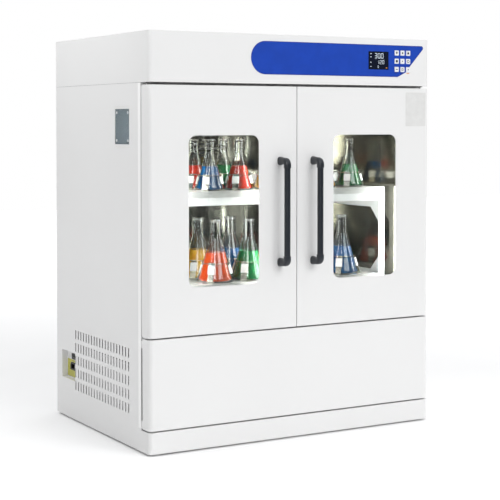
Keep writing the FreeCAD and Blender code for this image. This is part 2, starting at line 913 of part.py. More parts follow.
def make_insulation():
    near = chamber_half + sheet
    wide = insulation_half
    low, high = chamber_floor_height - sheet, chamber_ceiling_height + sheet
    y1 = y_insulation_rear
    floor = box(-wide, wide, y_frame, y1, z_deck_top, low)
    floor = cut_all(floor, crank_openings(z_deck_top, low))
    ceiling = box(-wide, wide, y_frame, y1, high, z_ring_bottom)
    sleeve = side_window_outline(side_window_sleeve)
    sleeve_hole = prism("yz", sleeve, -wide - overrun, -near + overrun)
    left = box(-wide, -near, y_frame, y1, low, high).cut(sleeve_hole)
    right = box(near, wide, y_frame, y1, low, high)
    reach = fan_motor_radius + fit_gap
    hole_z = (fan_height - reach, fan_height + reach)
    motor_hole = box(-reach, reach, y_liner_rear - overrun, y1 + overrun, *hole_z)
    rear = box(-near, near, y_liner_rear + sheet, y1, low, high).cut(motor_hole)
    return group([floor, ceiling, left, right, rear])


def make_side_window_trim():
    """A flush outer border and a sleeve that lines the wall behind it."""
    outline = side_window_outline(side_window_border - fit_gap, side_window_radius)
    border = prism("yz", outline, -half_width, -skin_half)
    sleeve = prism("yz", side_window_outline(side_window_sleeve), -skin_half, -chamber_half)
    hole = prism("yz", side_window_outline(0.0), -half_width - overrun, -chamber_half + overrun)
    return border.fuse(sleeve).cut(hole).removeSplitter()


def make_side_window_glass():
    outline = side_window_outline(0.0)
    outer = prism("yz", outline, -half_width + sheet, -half_width + sheet + glass_thickness)
    inner = prism("yz", outline, -chamber_half - glass_thickness, -chamber_half)
    return group([outer, inner])


def make_air_duct_panel():
    """The baffle at the back of the chamber: two rows of slots and an eye in front of the fan."""
    low, high = chamber_floor_height, chamber_ceiling_height
    plate = box(-chamber_half, chamber_half, y_duct, y_duct + sheet, low, high)
    y0, y1 = y_duct - overrun, y_duct + sheet + overrun
    cuts = []
    for z in (low + duct_row_margin, high - duct_row_margin - duct_slot_width):
        for i in range(duct_slot_count):
            x = (i - (duct_slot_count - 1) / 2) * duct_slot_pitch
            reach = duct_slot_length / 2
            cuts.append(box(x - reach, x + reach, y0, y1, z, z + duct_slot_width))
    for i in range(duct_eye_slots):
        z = fan_height + (i - (duct_eye_slots - 1) / 2) * duct_eye_radius * 2 / duct_eye_slots
        reach = math.sqrt(duct_eye_radius**2 - (z - fan_height) ** 2)
        half = duct_slot_width / 3
        cuts.append(box(-reach, reach, y0, y1, z - half, z + half))
    return cut_all(plate, cuts)


def make_chamber_lamp():
    y = y_frame + lamp_setback
    half = lamp_length / 2
    top = chamber_ceiling_height
    outline = [
        (y, top),
        (y + lamp_width, top),
        (y + lamp_width, top - lamp_height, lamp_height / 2),
        (y, top - lamp_height, lamp_height / 2),
    ]
    return prism("yz", outline, -half, half)


# Air and cooling


def make_heater():
    """A finned strip heater across the air duct."""
    y0 = y_liner_rear - heater_thickness - heater_fin_stand
    half = heater_width / 2
    z0, z1 = heater_level, heater_level + heater_height
    shapes = [box(-half, half, y0, y0 + heater_thickness, z0, z1)]
    for i in range(heater_fins):
        x = (i - (heater_fins - 1) / 2) * heater_width / heater_fins
        ends = (x, x + coil_plate, y0 - heater_fin_stand, y_liner_rear)
        shapes.append(box(*ends, z0 - heater_fin_stand, z1 + heater_fin_stand))
    return fused(shapes)


def coil_headers(x, y, low, high, way):
    """Two upright header pipes beside a finned coil, spread along the given way."""
    pipes = []
    for side in (-1, 1):
        u, v = x + side * way[0], y + side * way[1]
        pipes.append(prism("xy", polygon(u, v, coil_pipe_radius, coil_pipe_sides), low, high))
    return pipes


def make_evaporator():
    half = coil_width / 2
    y0, y1 = y_liner_rear - coil_thickness, y_liner_rear
    z0, z1 = evaporator_level, evaporator_level + coil_height
    lip = coil_plate
    core = box(-half, half, y0 + lip, y1 - lip, z0 + lip, z1 - lip)
    plates = [box(side * half, side * (half + coil_plate), y0, y1, z0, z1) for side in (-1, 1)]
    end = half + coil_plate
    spread = (0, coil_thickness / 4)
    pipes = coil_headers(end + coil_pipe_radius / 2, (y0 + y1) / 2, z0 + lip, z1 - lip, spread)
    return fused([core] + plates + pipes)


def condenser_faces():
    x0 = -skin_half + condenser_side_gap
    return x0, x0 + condenser_thickness


def make_condenser():
    x0, x1 = condenser_faces()
    y0 = y_front + condenser_start_depth
    y1 = y0 + condenser_width
    z0, z1 = z_pan_top, z_pan_top + condenser_height
    lip = coil_plate
    core = box(x0 + lip, x1 - lip, y0, y1, z0 + lip, z1 - lip)
    plates = [box(x0, x1, y0 - coil_plate, y0, z0, z1), box(x0, x1, y1, y1 + coil_plate, z0, z1)]
    spread = (condenser_thickness / 4, 0)
    y_pipe = y1 + coil_plate + coil_pipe_radius / 2
    pipes = coil_headers((x0 + x1) / 2, y_pipe, z0 + lip, z1 - lip, spread)
    return fused([core] + plates + pipes)


def cooling_fan_place():
    """The axis of the condenser fan and the x of its front."""
    y = y_front + condenser_start_depth + condenser_width / 2
    z = z_pan_top + condenser_height / 2
    return condenser_faces()[1] + cooling_fan_gap, y, z


def make_condenser_fan():
    """A five-bladed axial fan on its own short shaft."""
    x0, y, z = cooling_fan_place()
    x1 = x0 + cooling_fan_width
    hub = prism("yz", polygon(y, z, fan_hub_radius, 2 * cooling_fan_blades), x0, x1)
    shaft = cylinder("x", y, z, fan_shaft_radius, x0, x1 + cooling_motor_length / 2)
    blades = []
    half = cooling_fan_width / 2
    thick = cooling_blade_thickness / 2
    start = fan_hub_radius - overrun
    for i in range(cooling_fan_blades):
        blade = box(-half, half, -thick, thick, start, cooling_fan_radius)
        blade.rotate(FreeCAD.Vector(0, 0, 0), FreeCAD.Vector(0, 0, 1), cooling_blade_pitch_angle)
        blade.rotate(FreeCAD.Vector(0, 0, 0), FreeCAD.Vector(1, 0, 0), i * 360 / cooling_fan_blades)
        blade.translate(FreeCAD.Vector((x0 + x1) / 2, y, z))
        blades.append(blade)
    return fused([hub, shaft] + blades)


def make_circulation_fan():
    """A centrifugal wheel: a back plate on a shaft, with straight blades round its rim."""
    y1 = y_liner_rear - fan_wall_gap
    y0 = y1 - fan_width
    plate = prism("xz", polygon(0, fan_height, fan_radius, 2 * fan_blades), y1 - fan_backplate, y1)
    shaft = cylinder("y", 0, fan_height, fan_shaft_radius, y0, y_liner_rear + sheet + fan_motor_length / 2)
    blades = []
    for i in range(fan_blades):
        half = fan_blade_thickness / 2
        blade = box(-half, half, y0, y1, fan_radius * fan_blade_share, fan_radius - fan_blade_thickness)
        blade.rotate(FreeCAD.Vector(0, 0, 0), FreeCAD.Vector(0, 1, 0), i * 360 / fan_blades)
        blade.translate(FreeCAD.Vector(0, 0, fan_height))
        blades.append(blade)
    return fused([plate, shaft] + blades)


def make_fan_motors():
    """The circulation motor in the rear wall, and the condenser motor on its bracket."""
    y0 = y_liner_rear + sheet
    bore = fan_shaft_radius + run_fit
    half = fan_motor_radius
    rear_motor = box(-half, half, y0, y0 + fan_motor_length, fan_height - half, fan_height + half)
    reach = fan_motor_length / 2 + fit_gap
    rear_motor = rear_motor.cut(cylinder("y", 0, fan_height, bore, y0 - overrun, y0 + reach))
    x_fan, y, z = cooling_fan_place()
    x0 = x_fan + cooling_fan_width + cooling_fan_gap / 2
    half = cooling_motor_radius
    side_motor = box(x0, x0 + cooling_motor_length, y - half, y + half, z - half, z + half)
    leg = box(
        x0 + cooling_motor_length,
        x0 + cooling_motor_length + bracket_thickness,
        y - cooling_motor_radius,
        y + cooling_motor_radius,
        z_pan_top,
        z + cooling_motor_radius,
    )
    foot_end = x0 + cooling_motor_length + bracket_thickness + cooling_motor_radius
    foot = box(
        x0 + cooling_motor_length,
        foot_end,
        y - cooling_motor_radius,
        y + cooling_motor_radius,
        z_pan_top,
        z_pan_top + bracket_thickness,
    )
    hole_end = x_fan + cooling_fan_width + cooling_motor_length / 2 + fit_gap
    hole = cylinder("x", y, z, bore, x0 - overrun, hole_end)
    return group([rear_motor, side_motor.cut(hole), fused([leg, foot])])


def make_compressor():
    """A welded steel can with drawn-in ends, on a foot plate with four rubber blocks."""
    x, y = compressor_x, y_front + compressor_setback
    z0 = z_pan_top + compressor_foot_height
    top = z0 + compressor_height
    rings = [
        (z0, compressor_radius - compressor_dome),
        (z0 + compressor_dome / 2, compressor_radius),
        (top - compressor_dome, compressor_radius),
        (top - compressor_dome / 3, compressor_radius - compressor_dome / 2),
        (top, compressor_radius - 2 * compressor_dome),
    ]
    can = faceted_body(x, y, rings, compressor_sides)
    reach = compressor_radius / 2
    plate = box(x - reach, x + reach, y - reach, y + reach, z0 - compressor_plate, z0)
    feet = []
    for u in (x - reach, x + reach - compressor_foot_size):
        for v in (y - reach, y + reach - compressor_foot_size):
            ends = (u, u + compressor_foot_size, v, v + compressor_foot_size)
            feet.append(box(*ends, z_pan_top, z0 - compressor_plate))
    return fused([can, plate] + feet)


# Power inlet and switch in the recessed pocket


def make_inlet_recess():
    """A sheet pocket of five plates let into the left skin."""
    half = pocket_length / 2
    z0, z1 = pocket_bottom_height, pocket_bottom_height + pocket_tall
    x0, x1 = -skin_half, x_pocket_wall
    y0, y1 = y_pocket - half, y_pocket + half
    wall = box(x1, x1 + sheet, y0 - sheet, y1 + sheet, z0 - sheet, z1 + sheet)
    wall = wall.cut(inlet_body(x1 - overrun, x1 + sheet + overrun, fit_gap))
    wall = wall.cut(switch_body(x1 - overrun, x1 + sheet + overrun, fit_gap))
    plates = [
        wall,
        box(x0, x1, y0 - sheet, y1 + sheet, z0 - sheet, z0),
        box(x0, x1, y0 - sheet, y1 + sheet, z1, z1 + sheet),
        box(x0, x1, y0 - sheet, y0, z0, z1),
        box(x0, x1, y1, y1 + sheet, z0, z1),
    ]
    return group(plates)


def inlet_body(low, high, grow):
    half, tall = inlet_width / 2 - inlet_rim + grow, inlet_tall / 2 - inlet_rim / 2 + grow
    return box(low, high, y_pocket - half, y_pocket + half, z_inlet - tall, z_inlet + tall)


def switch_body(low, high, grow):
    half, tall = switch_width / 2 + grow, switch_tall / 2 + grow
    outline = rectangle(y_pocket - half, y_pocket + half, z_switch - tall, z_switch + tall)
    return prism("yz", outline, low, high)


def make_power_inlet():
    """The mains inlet with its three pins, and the bezel that holds the rocker."""
    x = x_pocket_wall
    half, tall = inlet_width / 2, inlet_tall / 2
    outline = [
        (y_pocket - half, z_inlet - tall),
        (y_pocket + half, z_inlet - tall),
        (y_pocket + half, z_inlet + tall - inlet_corner),
        (y_pocket + half - inlet_corner, z_inlet + tall),
        (y_pocket - half + inlet_corner, z_inlet + tall),
        (y_pocket - half, z_inlet + tall - inlet_corner),
    ]
    flange = prism("yz", outline, x - inlet_stand, x)
    body = inlet_body(x - inlet_stand, x + inlet_body_depth, 0.0)
    half, tall = half - 2 * inlet_rim, tall - inlet_rim
    floor = x - inlet_stand + inlet_cavity_depth
    cavity = box(
        x - inlet_stand - overrun, floor, y_pocket - half, y_pocket + half, z_inlet - tall, z_inlet + tall
    )
    socket = flange.fuse(body).cut(cavity)
    pins = []
    for i in (-1, 0, 1):
        z = z_inlet + (inlet_pin_tall / 2 if i == 0 else -inlet_pin_tall / 2)
        y = y_pocket + i * inlet_pin_spacing
        sides = (y - inlet_pin_width / 2, y + inlet_pin_width / 2)
        ends = (z - inlet_pin_tall / 2, z + inlet_pin_tall / 2)
        pins.append(box(floor - inlet_cavity_depth / 2, floor + overrun, *sides, *ends))
    half, tall = switch_width / 2 + switch_rim, switch_tall / 2 + switch_rim
    outline = rectangle(y_pocket - half, y_pocket + half, z_switch - tall, z_switch + tall)
    bezel = prism("yz", outline, x - switch_bezel_stand, x)
    shell = bezel.fuse(switch_body(x - switch_bezel_stand, x + 2 * switch_depth, 0.0))
    half, tall = switch_width / 2 - switch_rim / 2, switch_tall / 2 - switch_rim / 2
    well = rectangle(y_pocket - half, y_pocket + half, z_switch - tall, z_switch + tall)
    shell = shell.cut(prism("yz", well, x - switch_bezel_stand - overrun, x + switch_depth + switch_rim))
    y0, y1 = y_pocket - half - overrun, y_pocket + half + overrun
    pivot = cylinder("y", x, z_switch, switch_pivot_radius, y0, y1)
    pivot = pivot.common(switch_body(x - switch_bezel_stand, x + 2 * switch_depth, 0.0))
    return group([fused([socket] + pins), fused([shell, pivot])])


def make_power_switch():
    """A rocker on the bezel's cross pin: its face is two slopes, and it rests tipped to one side."""
    x = x_pocket_wall
    gap = switch_rim / 2 + fit_gap
    half = switch_width / 2 - gap
    tall = switch_tall / 2 - gap - 2 * fit_gap
    face = x - switch_stand
    outline = [
        (face + switch_rim / 2, z_switch - tall),
        (face - fit_gap, z_switch),
        (face + switch_rim / 2, z_switch + tall),
        (x + switch_rim, z_switch + tall / 2),
        (x + switch_rim, z_switch - tall / 2),
    ]
    body = prism("xz", outline, y_pocket - half, y_pocket + half)
    bore_radius = switch_pivot_radius + run_fit
    bore = cylinder("y", x, z_switch, bore_radius, y_pocket - half - overrun, y_pocket + half + overrun)
    rocker = body.cut(bore)
    rocker.rotate(FreeCAD.Vector(x, y_pocket, z_switch), FreeCAD.Vector(0, 1, 0), -switch_tilt)
    return rocker


# Control panel


def make_control_overlay():
    """The film on the hood: a round left end and a slanted right end."""
    z0, z1 = overlay_bottom_height, overlay_top_height
    end_radius = (z1 - z0) / 2
    left = overlay_start - half_width
    corners = [
        (left, z0, end_radius),
        (overlay_end_bottom - half_width, z0, overlay_corner_radius),
        (overlay_end_top - half_width, z1, overlay_corner_radius),
        (left, z1, end_radius),
    ]
    film = prism("xz", corners, y_front - overlay_thickness, y_front)
    low, high = y_front - overlay_thickness - overrun, y_front + overrun
    return cut_all(film, key_openings(low, high, fit_gap) + [display_opening(low, high, fit_gap)])


def make_display_window():
    """A dark lens in its opening, held by a flange behind the hood."""
    lens = display_opening(y_front - overlay_thickness, y_front + sheet, 0.0)
    flange = display_opening(y_front + sheet, y_front + sheet + display_thickness, display_flange)
    return lens.fuse(flange).removeSplitter()


def make_control_board():
    """The board behind the panel: key switches, the display body and four posts to the hood."""
    y0 = y_front + board_setback
    y1 = y0 + board_thickness
    x_low, x_high = display_left - board_margin, key_columns[-1] + key_half + board_margin
    z_low, z_high = key_rows[-1] - key_half - board_margin, key_rows[0] + key_half + board_margin
    shapes = [box(x_low, x_high, y0, y1, z_low, z_high)]
    switch_front = y_front + sheet + fit_gap + key_flange_thickness + key_travel + fit_gap
    reach = key_switch_size / 2
    for x in key_columns:
        for z in key_rows:
            shapes.append(box(x - reach, x + reach, switch_front, y0, z - reach, z + reach))
    shapes.append(display_opening(y_front + sheet + display_thickness, y0, 0.0))
    for x in (x_low, x_high - board_post_size):
        for z in (z_low, z_high - board_post_size):
            ends = (x, x + board_post_size, y_front + sheet, y0, z, z + board_post_size)
            shapes.append(box(*ends))
    return fused(shapes)


def make_key(x, z):
    """A bevelled square cap through the hood, with a flange behind the sheet that keeps it in."""
    cap_back = y_front + sheet + fit_gap
    corners = []
    for way_x, way_z in ((-1, -1), (1, -1), (1, 1), (-1, 1)):
        along = (x + way_x * (key_half - key_bevel), z + way_z * key_half)
        up = (x + way_x * key_half, z + way_z * (key_half - key_bevel))
        corners.extend([up, along] if way_x * way_z > 0 else [along, up])
    cap = prism("xz", corners, y_front - overlay_thickness - key_stand, cap_back)
    reach = key_half + key_flange
    flange = box(x - reach, x + reach, cap_back, cap_back + key_flange_thickness, z - reach, z + reach)
    return cap.fuse(flange).removeSplitter()


# Cradle, trays, clamps and flasks


def cradle_box(x0, x1, y0, y1, z0, z1):
    """A box in the cradle's own place, which its crank pins hold off the centre."""
    return box(cradle_x + x0, cradle_x + x1, y0, y1, z0, z1)


def cradle_post(side, y_end, inward):
    """A folded corner post: a flange across the front or rear, and a web along the side."""
    out = side * cradle_half
    flange_y = sorted((y_end, y_end + inward * cradle_sheet))
    web_y = sorted((y_end, y_end + inward * post_web))
    low, high = z_base_plate_bottom + base_plate_thickness, upper_tray_height
    flange = cradle_box(out - side * post_flange, out, flange_y[0], flange_y[1], low, high)
    web = cradle_box(out - side * cradle_sheet, out, web_y[0], web_y[1], low, high)
    return flange.fuse(web).removeSplitter()


def side_gusset_plate(side, y_corner, z_corner, y_way, z_way):
    """One chamfered corner of the opening in the cradle's side."""
    corners = [
        (y_corner, z_corner),
        (y_corner + y_way * side_gusset, z_corner),
        (y_corner, z_corner + z_way * side_gusset),
    ]
    x_out = cradle_x + side * cradle_half
    low, high = sorted((x_out, x_out - side * cradle_sheet))
    return prism("yz", corners, low, high)


def make_cradle_frame():
    """Side plates with chamfered openings, four cross beams, two joists and the crank base plate."""
    y0, y1 = y_cradle_front, y_cradle_rear
    shapes = []
    web_y0, web_y1 = y0 + post_web, y1 - post_web
    low_rail = (z_cradle_bottom, z_cradle_bottom + side_rail_height)
    high_rail = (z_upper_beam_top - side_rail_height, z_upper_beam_top)
    for side in (-1, 1):
        shapes.append(cradle_post(side, y0, 1))
        shapes.append(cradle_post(side, y1, -1))
        out = side * cradle_half
        for low, high in (low_rail, high_rail):
            shapes.append(cradle_box(out - side * cradle_sheet, out, web_y0, web_y1, low, high))
        shapes.append(side_gusset_plate(side, web_y0, low_rail[1], 1, 1))
        shapes.append(side_gusset_plate(side, web_y1, low_rail[1], -1, 1))
        shapes.append(side_gusset_plate(side, web_y0, high_rail[0], 1, -1))
        shapes.append(side_gusset_plate(side, web_y1, high_rail[0], -1, -1))
    span = cradle_half - post_flange
    for top in (z_lower_beam_top, z_upper_beam_top):
        for y in (y0, y1 - beam_depth):
            bottom = top - beam_height
            shapes.append(tube_bar("x", cradle_x - span, cradle_x + span, y, y + beam_depth, bottom, top))
        for way in (-1, 1):
            x = cradle_x + way * joist_spacing / 2
            ends = (x - beam_depth / 2, x + beam_depth / 2)
            shapes.append(tube_bar("y", *ends, y0 + beam_depth, y1 - beam_depth, top - beam_height, top))
    shapes.append(make_crank_base_plate())
    return group(shapes)


def crank_pins():
    return [(x + orbit_radius, y) for x, y in [main_crank] + idler_cranks]


def make_crank_base_plate():
    """The plate under the cradle with a bored boss for each crank pin."""
    low, high = z_base_plate_bottom, z_base_plate_bottom + base_plate_thickness
    plate = cradle_box(-cradle_half, cradle_half, y_cradle_front, y_cradle_rear, low, high)
    bosses = []
    bores = []
    reach = crank_pin_radius + boss_wall
    radius = crank_pin_radius + run_fit
    top = low + boss_height
    for x, y in crank_pins():
        bosses.append(box(x - reach, x + reach, y - reach, y + reach, low, top))
        bores.append(cylinder("z", x, y, radius, low - overrun, top + overrun))
    return cut_all(fused([plate] + bosses), bores)


def make_tray(top):
    """A shallow pressed tray, open below, that stands on the beams between the posts."""
    half = cradle_half - post_flange - fit_gap
    outer = cradle_box(-half, half, y_cradle_front, y_cradle_rear, top - tray_lip, top)
    inner = cradle_box(
        -half + tray_sheet,
        half - tray_sheet,
        y_cradle_front + tray_sheet,
        y_cradle_rear - tray_sheet,
        top - tray_lip - overrun,
        top - tray_sheet,
    )
    return outer.cut(inner)


def tier_place(columns, pitch, column, row):
    """The centre of one flask position on a tray."""
    x = cradle_x + tier_setback + (column - (columns - 1) / 2) * pitch
    y = y_cradle_front + first_row_setback + row * pitch + (pitch - upper_pitch) / 2
    return x, y


def faceted_body(x, y, rings, sides):
    """A body of flat facets through rings given as (height, radius), the lowest ring first."""
    loops = []
    for z, radius in rings:
        corners = [FreeCAD.Vector(u, v, z) for u, v in polygon(x, y, radius, sides)]
        loops.append(corners + corners[:1])
    outlines = [loops[0][::-1], loops[-1]]
    for lower, upper in zip(loops, loops[1:]):
        for i in range(sides):
            outlines.append([lower[i], lower[i + 1], upper[i + 1], upper[i], lower[i]])
    faces = [Part.Face(Part.makePolygon(outline)) for outline in outlines]
    return Part.Solid(Part.Shell(faces))


def flask(x, y, bottom, radius, height, neck_radius):
    """A conical flask with a straight neck and a flared lip."""
    rings = [
        (bottom, radius),
        (bottom + height * flask_cone_share, neck_radius),
        (bottom + height - flask_lip_height, neck_radius),
        (bottom + height, neck_radius + flask_lip),
    ]
    return faceted_body(x, y, rings, flask_sides)


def make_flasks():
    shapes = []
    for column, row in upper_filled:
        x, y = tier_place(upper_columns, upper_pitch, column, row)
        bottom = upper_tray_height + 2 * clamp_sheet
        shapes.append(flask(x, y, bottom, small_flask_radius, small_flask_height, small_neck_radius))
    for column, row in lower_filled:
        x, y = tier_place(lower_columns, lower_pitch, column, row)
        bottom = lower_tray_height + 2 * clamp_sheet
        shapes.append(flask(x, y, bottom, large_flask_radius, large_flask_height, large_neck_radius))
    return group(shapes)


def clamp(x, y, bottom, radius, height, neck_radius):
    """Two crossed spring strips on the diagonals, whose four arms lean in along the flask's wall."""
    rise = height * clamp_arm_share
    slope = (radius - neck_radius) / (height * flask_cone_share)
    tip = radius - (rise - 2 * clamp_sheet) * slope + clamp_sheet + clamp_gap
    foot = radius + clamp_sheet + clamp_gap
    half = clamp_strip / 2
    strips = []
    for plane, low in (("xz", bottom), ("yz", bottom + clamp_sheet)):
        outline = [
            (-foot, low),
            (foot, low),
            (tip, bottom + rise),
            (tip - clamp_sheet, bottom + rise),
            (foot - clamp_sheet, low + clamp_sheet),
            (-foot + clamp_sheet, low + clamp_sheet),
            (-tip + clamp_sheet, bottom + rise),
            (-tip, bottom + rise),
        ]
        strips.append(prism(plane, outline, -half, half))
    shape = group(strips)
    shape.rotate(FreeCAD.Vector(0, 0, 0), FreeCAD.Vector(0, 0, 1), clamp_turn_angle)
    shape.translate(FreeCAD.Vector(x, y, 0))
    return shape


def make_flask_clamps():
    shapes = []
    for column in range(upper_columns):
        for row in range(upper_rows):
            x, y = tier_place(upper_columns, upper_pitch, column, row)
            shapes.append(
                clamp(x, y, upper_tray_height, small_flask_radius, small_flask_height, small_neck_radius)
            )
    for column in range(lower_columns):
        for row in range(lower_rows):
            x, y = tier_place(lower_columns, lower_pitch, column, row)
            shapes.append(
                clamp(x, y, lower_tray_height, large_flask_radius, large_flask_height, large_neck_radius)
            )
    return group(shapes)


# Drive


def crank(place, shaft_bottom):
    """A shaft with an eccentric head and the pin that carries the cradle."""
    x, y = place
    head_low = z_head_top - crank_head_thickness
    shaft = cylinder("z", x, y, shaft_radius, shaft_bottom, head_low)
    reach = orbit_radius + crank_pin_radius + crank_head_rim
    rear = shaft_radius + crank_head_rim
    nose = rear / 2
    outline = [
        (x - rear, y - nose),
        (x - nose, y - rear),
        (x + reach - nose, y - rear),
        (x + reach, y - nose),
        (x + reach, y + nose),
        (x + reach - nose, y + rear),
        (x - nose, y + rear),
        (x - rear, y + nose),
    ]
    head = prism("xy", outline, head_low, z_head_top)
    pin = cylinder("z", x + orbit_radius, y, crank_pin_radius, z_head_top, z_head_top + crank_pin_length)
    return fused([shaft, head, pin])


def make_crank_shaft():
    """The driven crank: pulley, counterweight opposite the pin, shaft and head."""
    x, y = main_crank
    weight_low = z_pulley_bottom - counterweight_height
    pulley = prism("xy", polygon(x, y, pulley_radius, pulley_sides), z_pulley_bottom, z_pulley_top)
    reach = counterweight_radius
    corner = counterweight_corner
    half_round = [
        (x, y - reach),
        (x, y + reach),
        (x - reach + corner, y + reach),
        (x - reach, y + reach - corner),
        (x - reach, y - reach + corner),
        (x - reach + corner, y - reach),
    ]
    weight = prism("xy", half_round, weight_low, z_pulley_bottom)
    return fused([crank(main_crank, weight_low), pulley, weight])


def make_idler(place):
    return crank(place, z_deck_bottom - idler_housing_length - pulley_gap)


def make_bearing_housings():
    """Block housings under the deck; each has a neck that carries its bore up through the floor."""
    shapes = []
    lengths = [housing_length, idler_housing_length, idler_housing_length]
    for (x, y), length in zip([main_crank] + idler_cranks, lengths):
        reach = shaft_radius + housing_wall
        bottom = z_deck_bottom - length
        body = box(x - reach, x + reach, y - reach, y + reach, bottom, z_deck_bottom)
        wide = reach + housing_flange
        flange_low = z_deck_bottom - housing_flange_thickness
        flange = box(x - wide, x + wide, y - reach, y + reach, flange_low, z_deck_bottom)
        top = chamber_floor_height + neck_stand
        narrow = shaft_radius + neck_wall
        neck = box(x - narrow, x + narrow, y - narrow, y + narrow, z_deck_bottom, top)
        bore = cylinder("z", x, y, shaft_radius + run_fit, bottom - overrun, top + overrun)
        shapes.append(fused([body, flange, neck]).cut(bore))
    return group(shapes)


def make_drive_motor():
    """An upright motor with bevelled sides on a square foot, and an end cap round its shaft."""
    reach = motor_foot_size / 2
    foot_top = z_pan_top + motor_foot_thickness
    foot = box(motor_x - reach, motor_x + reach, motor_y - reach, motor_y + reach, z_pan_top, foot_top)
    top = foot_top + motor_height
    body = faceted_body(motor_x, motor_y, [(foot_top, motor_radius), (top, motor_radius)], motor_sides)
    cap_rings = [(top, motor_radius / 2), (top + motor_cap_height, motor_radius / 2)]
    cap = faceted_body(motor_x, motor_y, cap_rings, motor_sides)
    low = top + motor_cap_height - motor_shaft_depth
    radius = motor_shaft_radius + run_fit
    bore_top = top + motor_cap_height + overrun
    bore = cylinder("z", motor_x, motor_y, radius, low - fit_gap, bore_top)
    return fused([foot, body, cap]).cut(bore)


def make_motor_pulley():
    """The small pulley, with a flange under the belt, on the motor's own shaft."""
    face = polygon(motor_x, motor_y, motor_pulley_radius, pulley_sides)
    pulley = prism("xy", face, z_pulley_bottom, z_pulley_top)
    rim = polygon(motor_x, motor_y, motor_pulley_radius + pulley_rim, pulley_sides)
    flange = prism("xy", rim, z_pulley_bottom, z_pulley_bottom + pulley_flange_thickness)
    shaft_low = z_motor_top - motor_shaft_depth
    shaft = cylinder("z", motor_x, motor_y, motor_shaft_radius, shaft_low, z_pulley_top)
    return fused([pulley, flange, shaft])


def belt_line(grow):
    """The line of a belt that runs round both pulleys, grow outside their radii."""
    r0, r1 = pulley_radius + grow, motor_pulley_radius + grow
    lean = math.asin((r0 - r1) / motor_distance)
    sweeps = (
        (main_crank[0], main_crank[1], r0, -math.pi / 2 - lean, math.pi + 2 * lean),
        (motor_x, motor_y, r1, math.pi / 2 + lean, math.pi - 2 * lean),
    )
    corners = []
    for x, y, radius, start, sweep in sweeps:
        for i in range(belt_steps + 1):
            angle = start + sweep * i / belt_steps
            corners.append((x + radius * math.cos(angle), y + radius * math.sin(angle)))
    return corners


def make_drive_belt():
    low, high = z_pulley_middle - belt_height / 2, z_pulley_middle + belt_height / 2
    loop = prism("xy", belt_line(belt_gap + belt_thickness), low, high)
    return loop.cut(prism("xy", belt_line(belt_gap), low - overrun, high + overrun))


# All nodes

nodes = {
    "base_frame": make_base_frame(),
    "left_side_panel": make_left_side_panel(),
    "right_side_panel": make_right_side_panel(),
    "rear_panel": make_rear_panel(),
    "front_plinth": make_front_plinth(),
    "lower_front_panel": make_lower_front_panel(),
    "hood_shell": make_hood_shell(),
    "door_frame": make_door_frame(),
    "door_hinges": make_door_hinges(),
    "chamber_liner": make_chamber_liner(),
    "insulation": make_insulation(),
    "side_window_trim": make_side_window_trim(),
    "side_window_glass": make_side_window_glass(),
    "chamber_lamp": make_chamber_lamp(),
    "air_duct_panel": make_air_duct_panel(),
    "heater": make_heater(),
    "evaporator": make_evaporator(),
    "circulation_fan": make_circulation_fan(),
    "fan_motors": make_fan_motors(),
    "condenser": make_condenser(),
    "condenser_fan": make_condenser_fan(),
    "compressor": make_compressor(),
    "inlet_recess": make_inlet_recess(),
    "power_inlet": make_power_inlet(),
    "power_switch": make_power_switch(),
    "control_board": make_control_board(),
    "control_overlay": make_control_overlay(),
    "display_window": make_display_window(),
    "drive_motor": make_drive_motor(),
    "motor_pulley": make_motor_pulley(),
    "drive_belt": make_drive_belt(),
    "crank_shaft": make_crank_shaft(),
    "left_idler_crank": make_idler(idler_cranks[0]),
    "right_idler_crank": make_idler(idler_cranks[1]),
    "bearing_housings": make_bearing_housings(),
    "levelling_feet": make_levelling_feet(),
    "cradle_frame": make_cradle_frame(),
    "lower_tray": make_tray(lower_tray_height),
    "upper_tray": make_tray(upper_tray_height),
    "flask_clamps": make_flask_clamps(),
    "flasks": make_flasks(),
}
for name, side in (("left", -1), ("right", 1)):
    nodes[name + "_door_skin"] = make_door_skin(side)
    nodes[name + "_door_liner"] = make_door_liner(side)
    nodes[name + "_door_glass"] = make_door_glass(side)
    nodes[name + "_door_gasket"] = make_door_gasket(side)
    nodes[name + "_door_handle"] = make_door_handle(side)
for row, z in enumerate(key_rows):
    for column, x in enumerate(key_columns):
        nodes[f"key_{row + 1}_{column + 1}"] = make_key(x, z)

os.makedirs("parts", exist_ok=True)
for name, shape in nodes.items():
    shape.exportStep(f"parts/{name}.step")
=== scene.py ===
import json
import math
import bmesh
import bpy
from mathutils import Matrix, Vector
from mathutils.geometry import tessellate_polygon


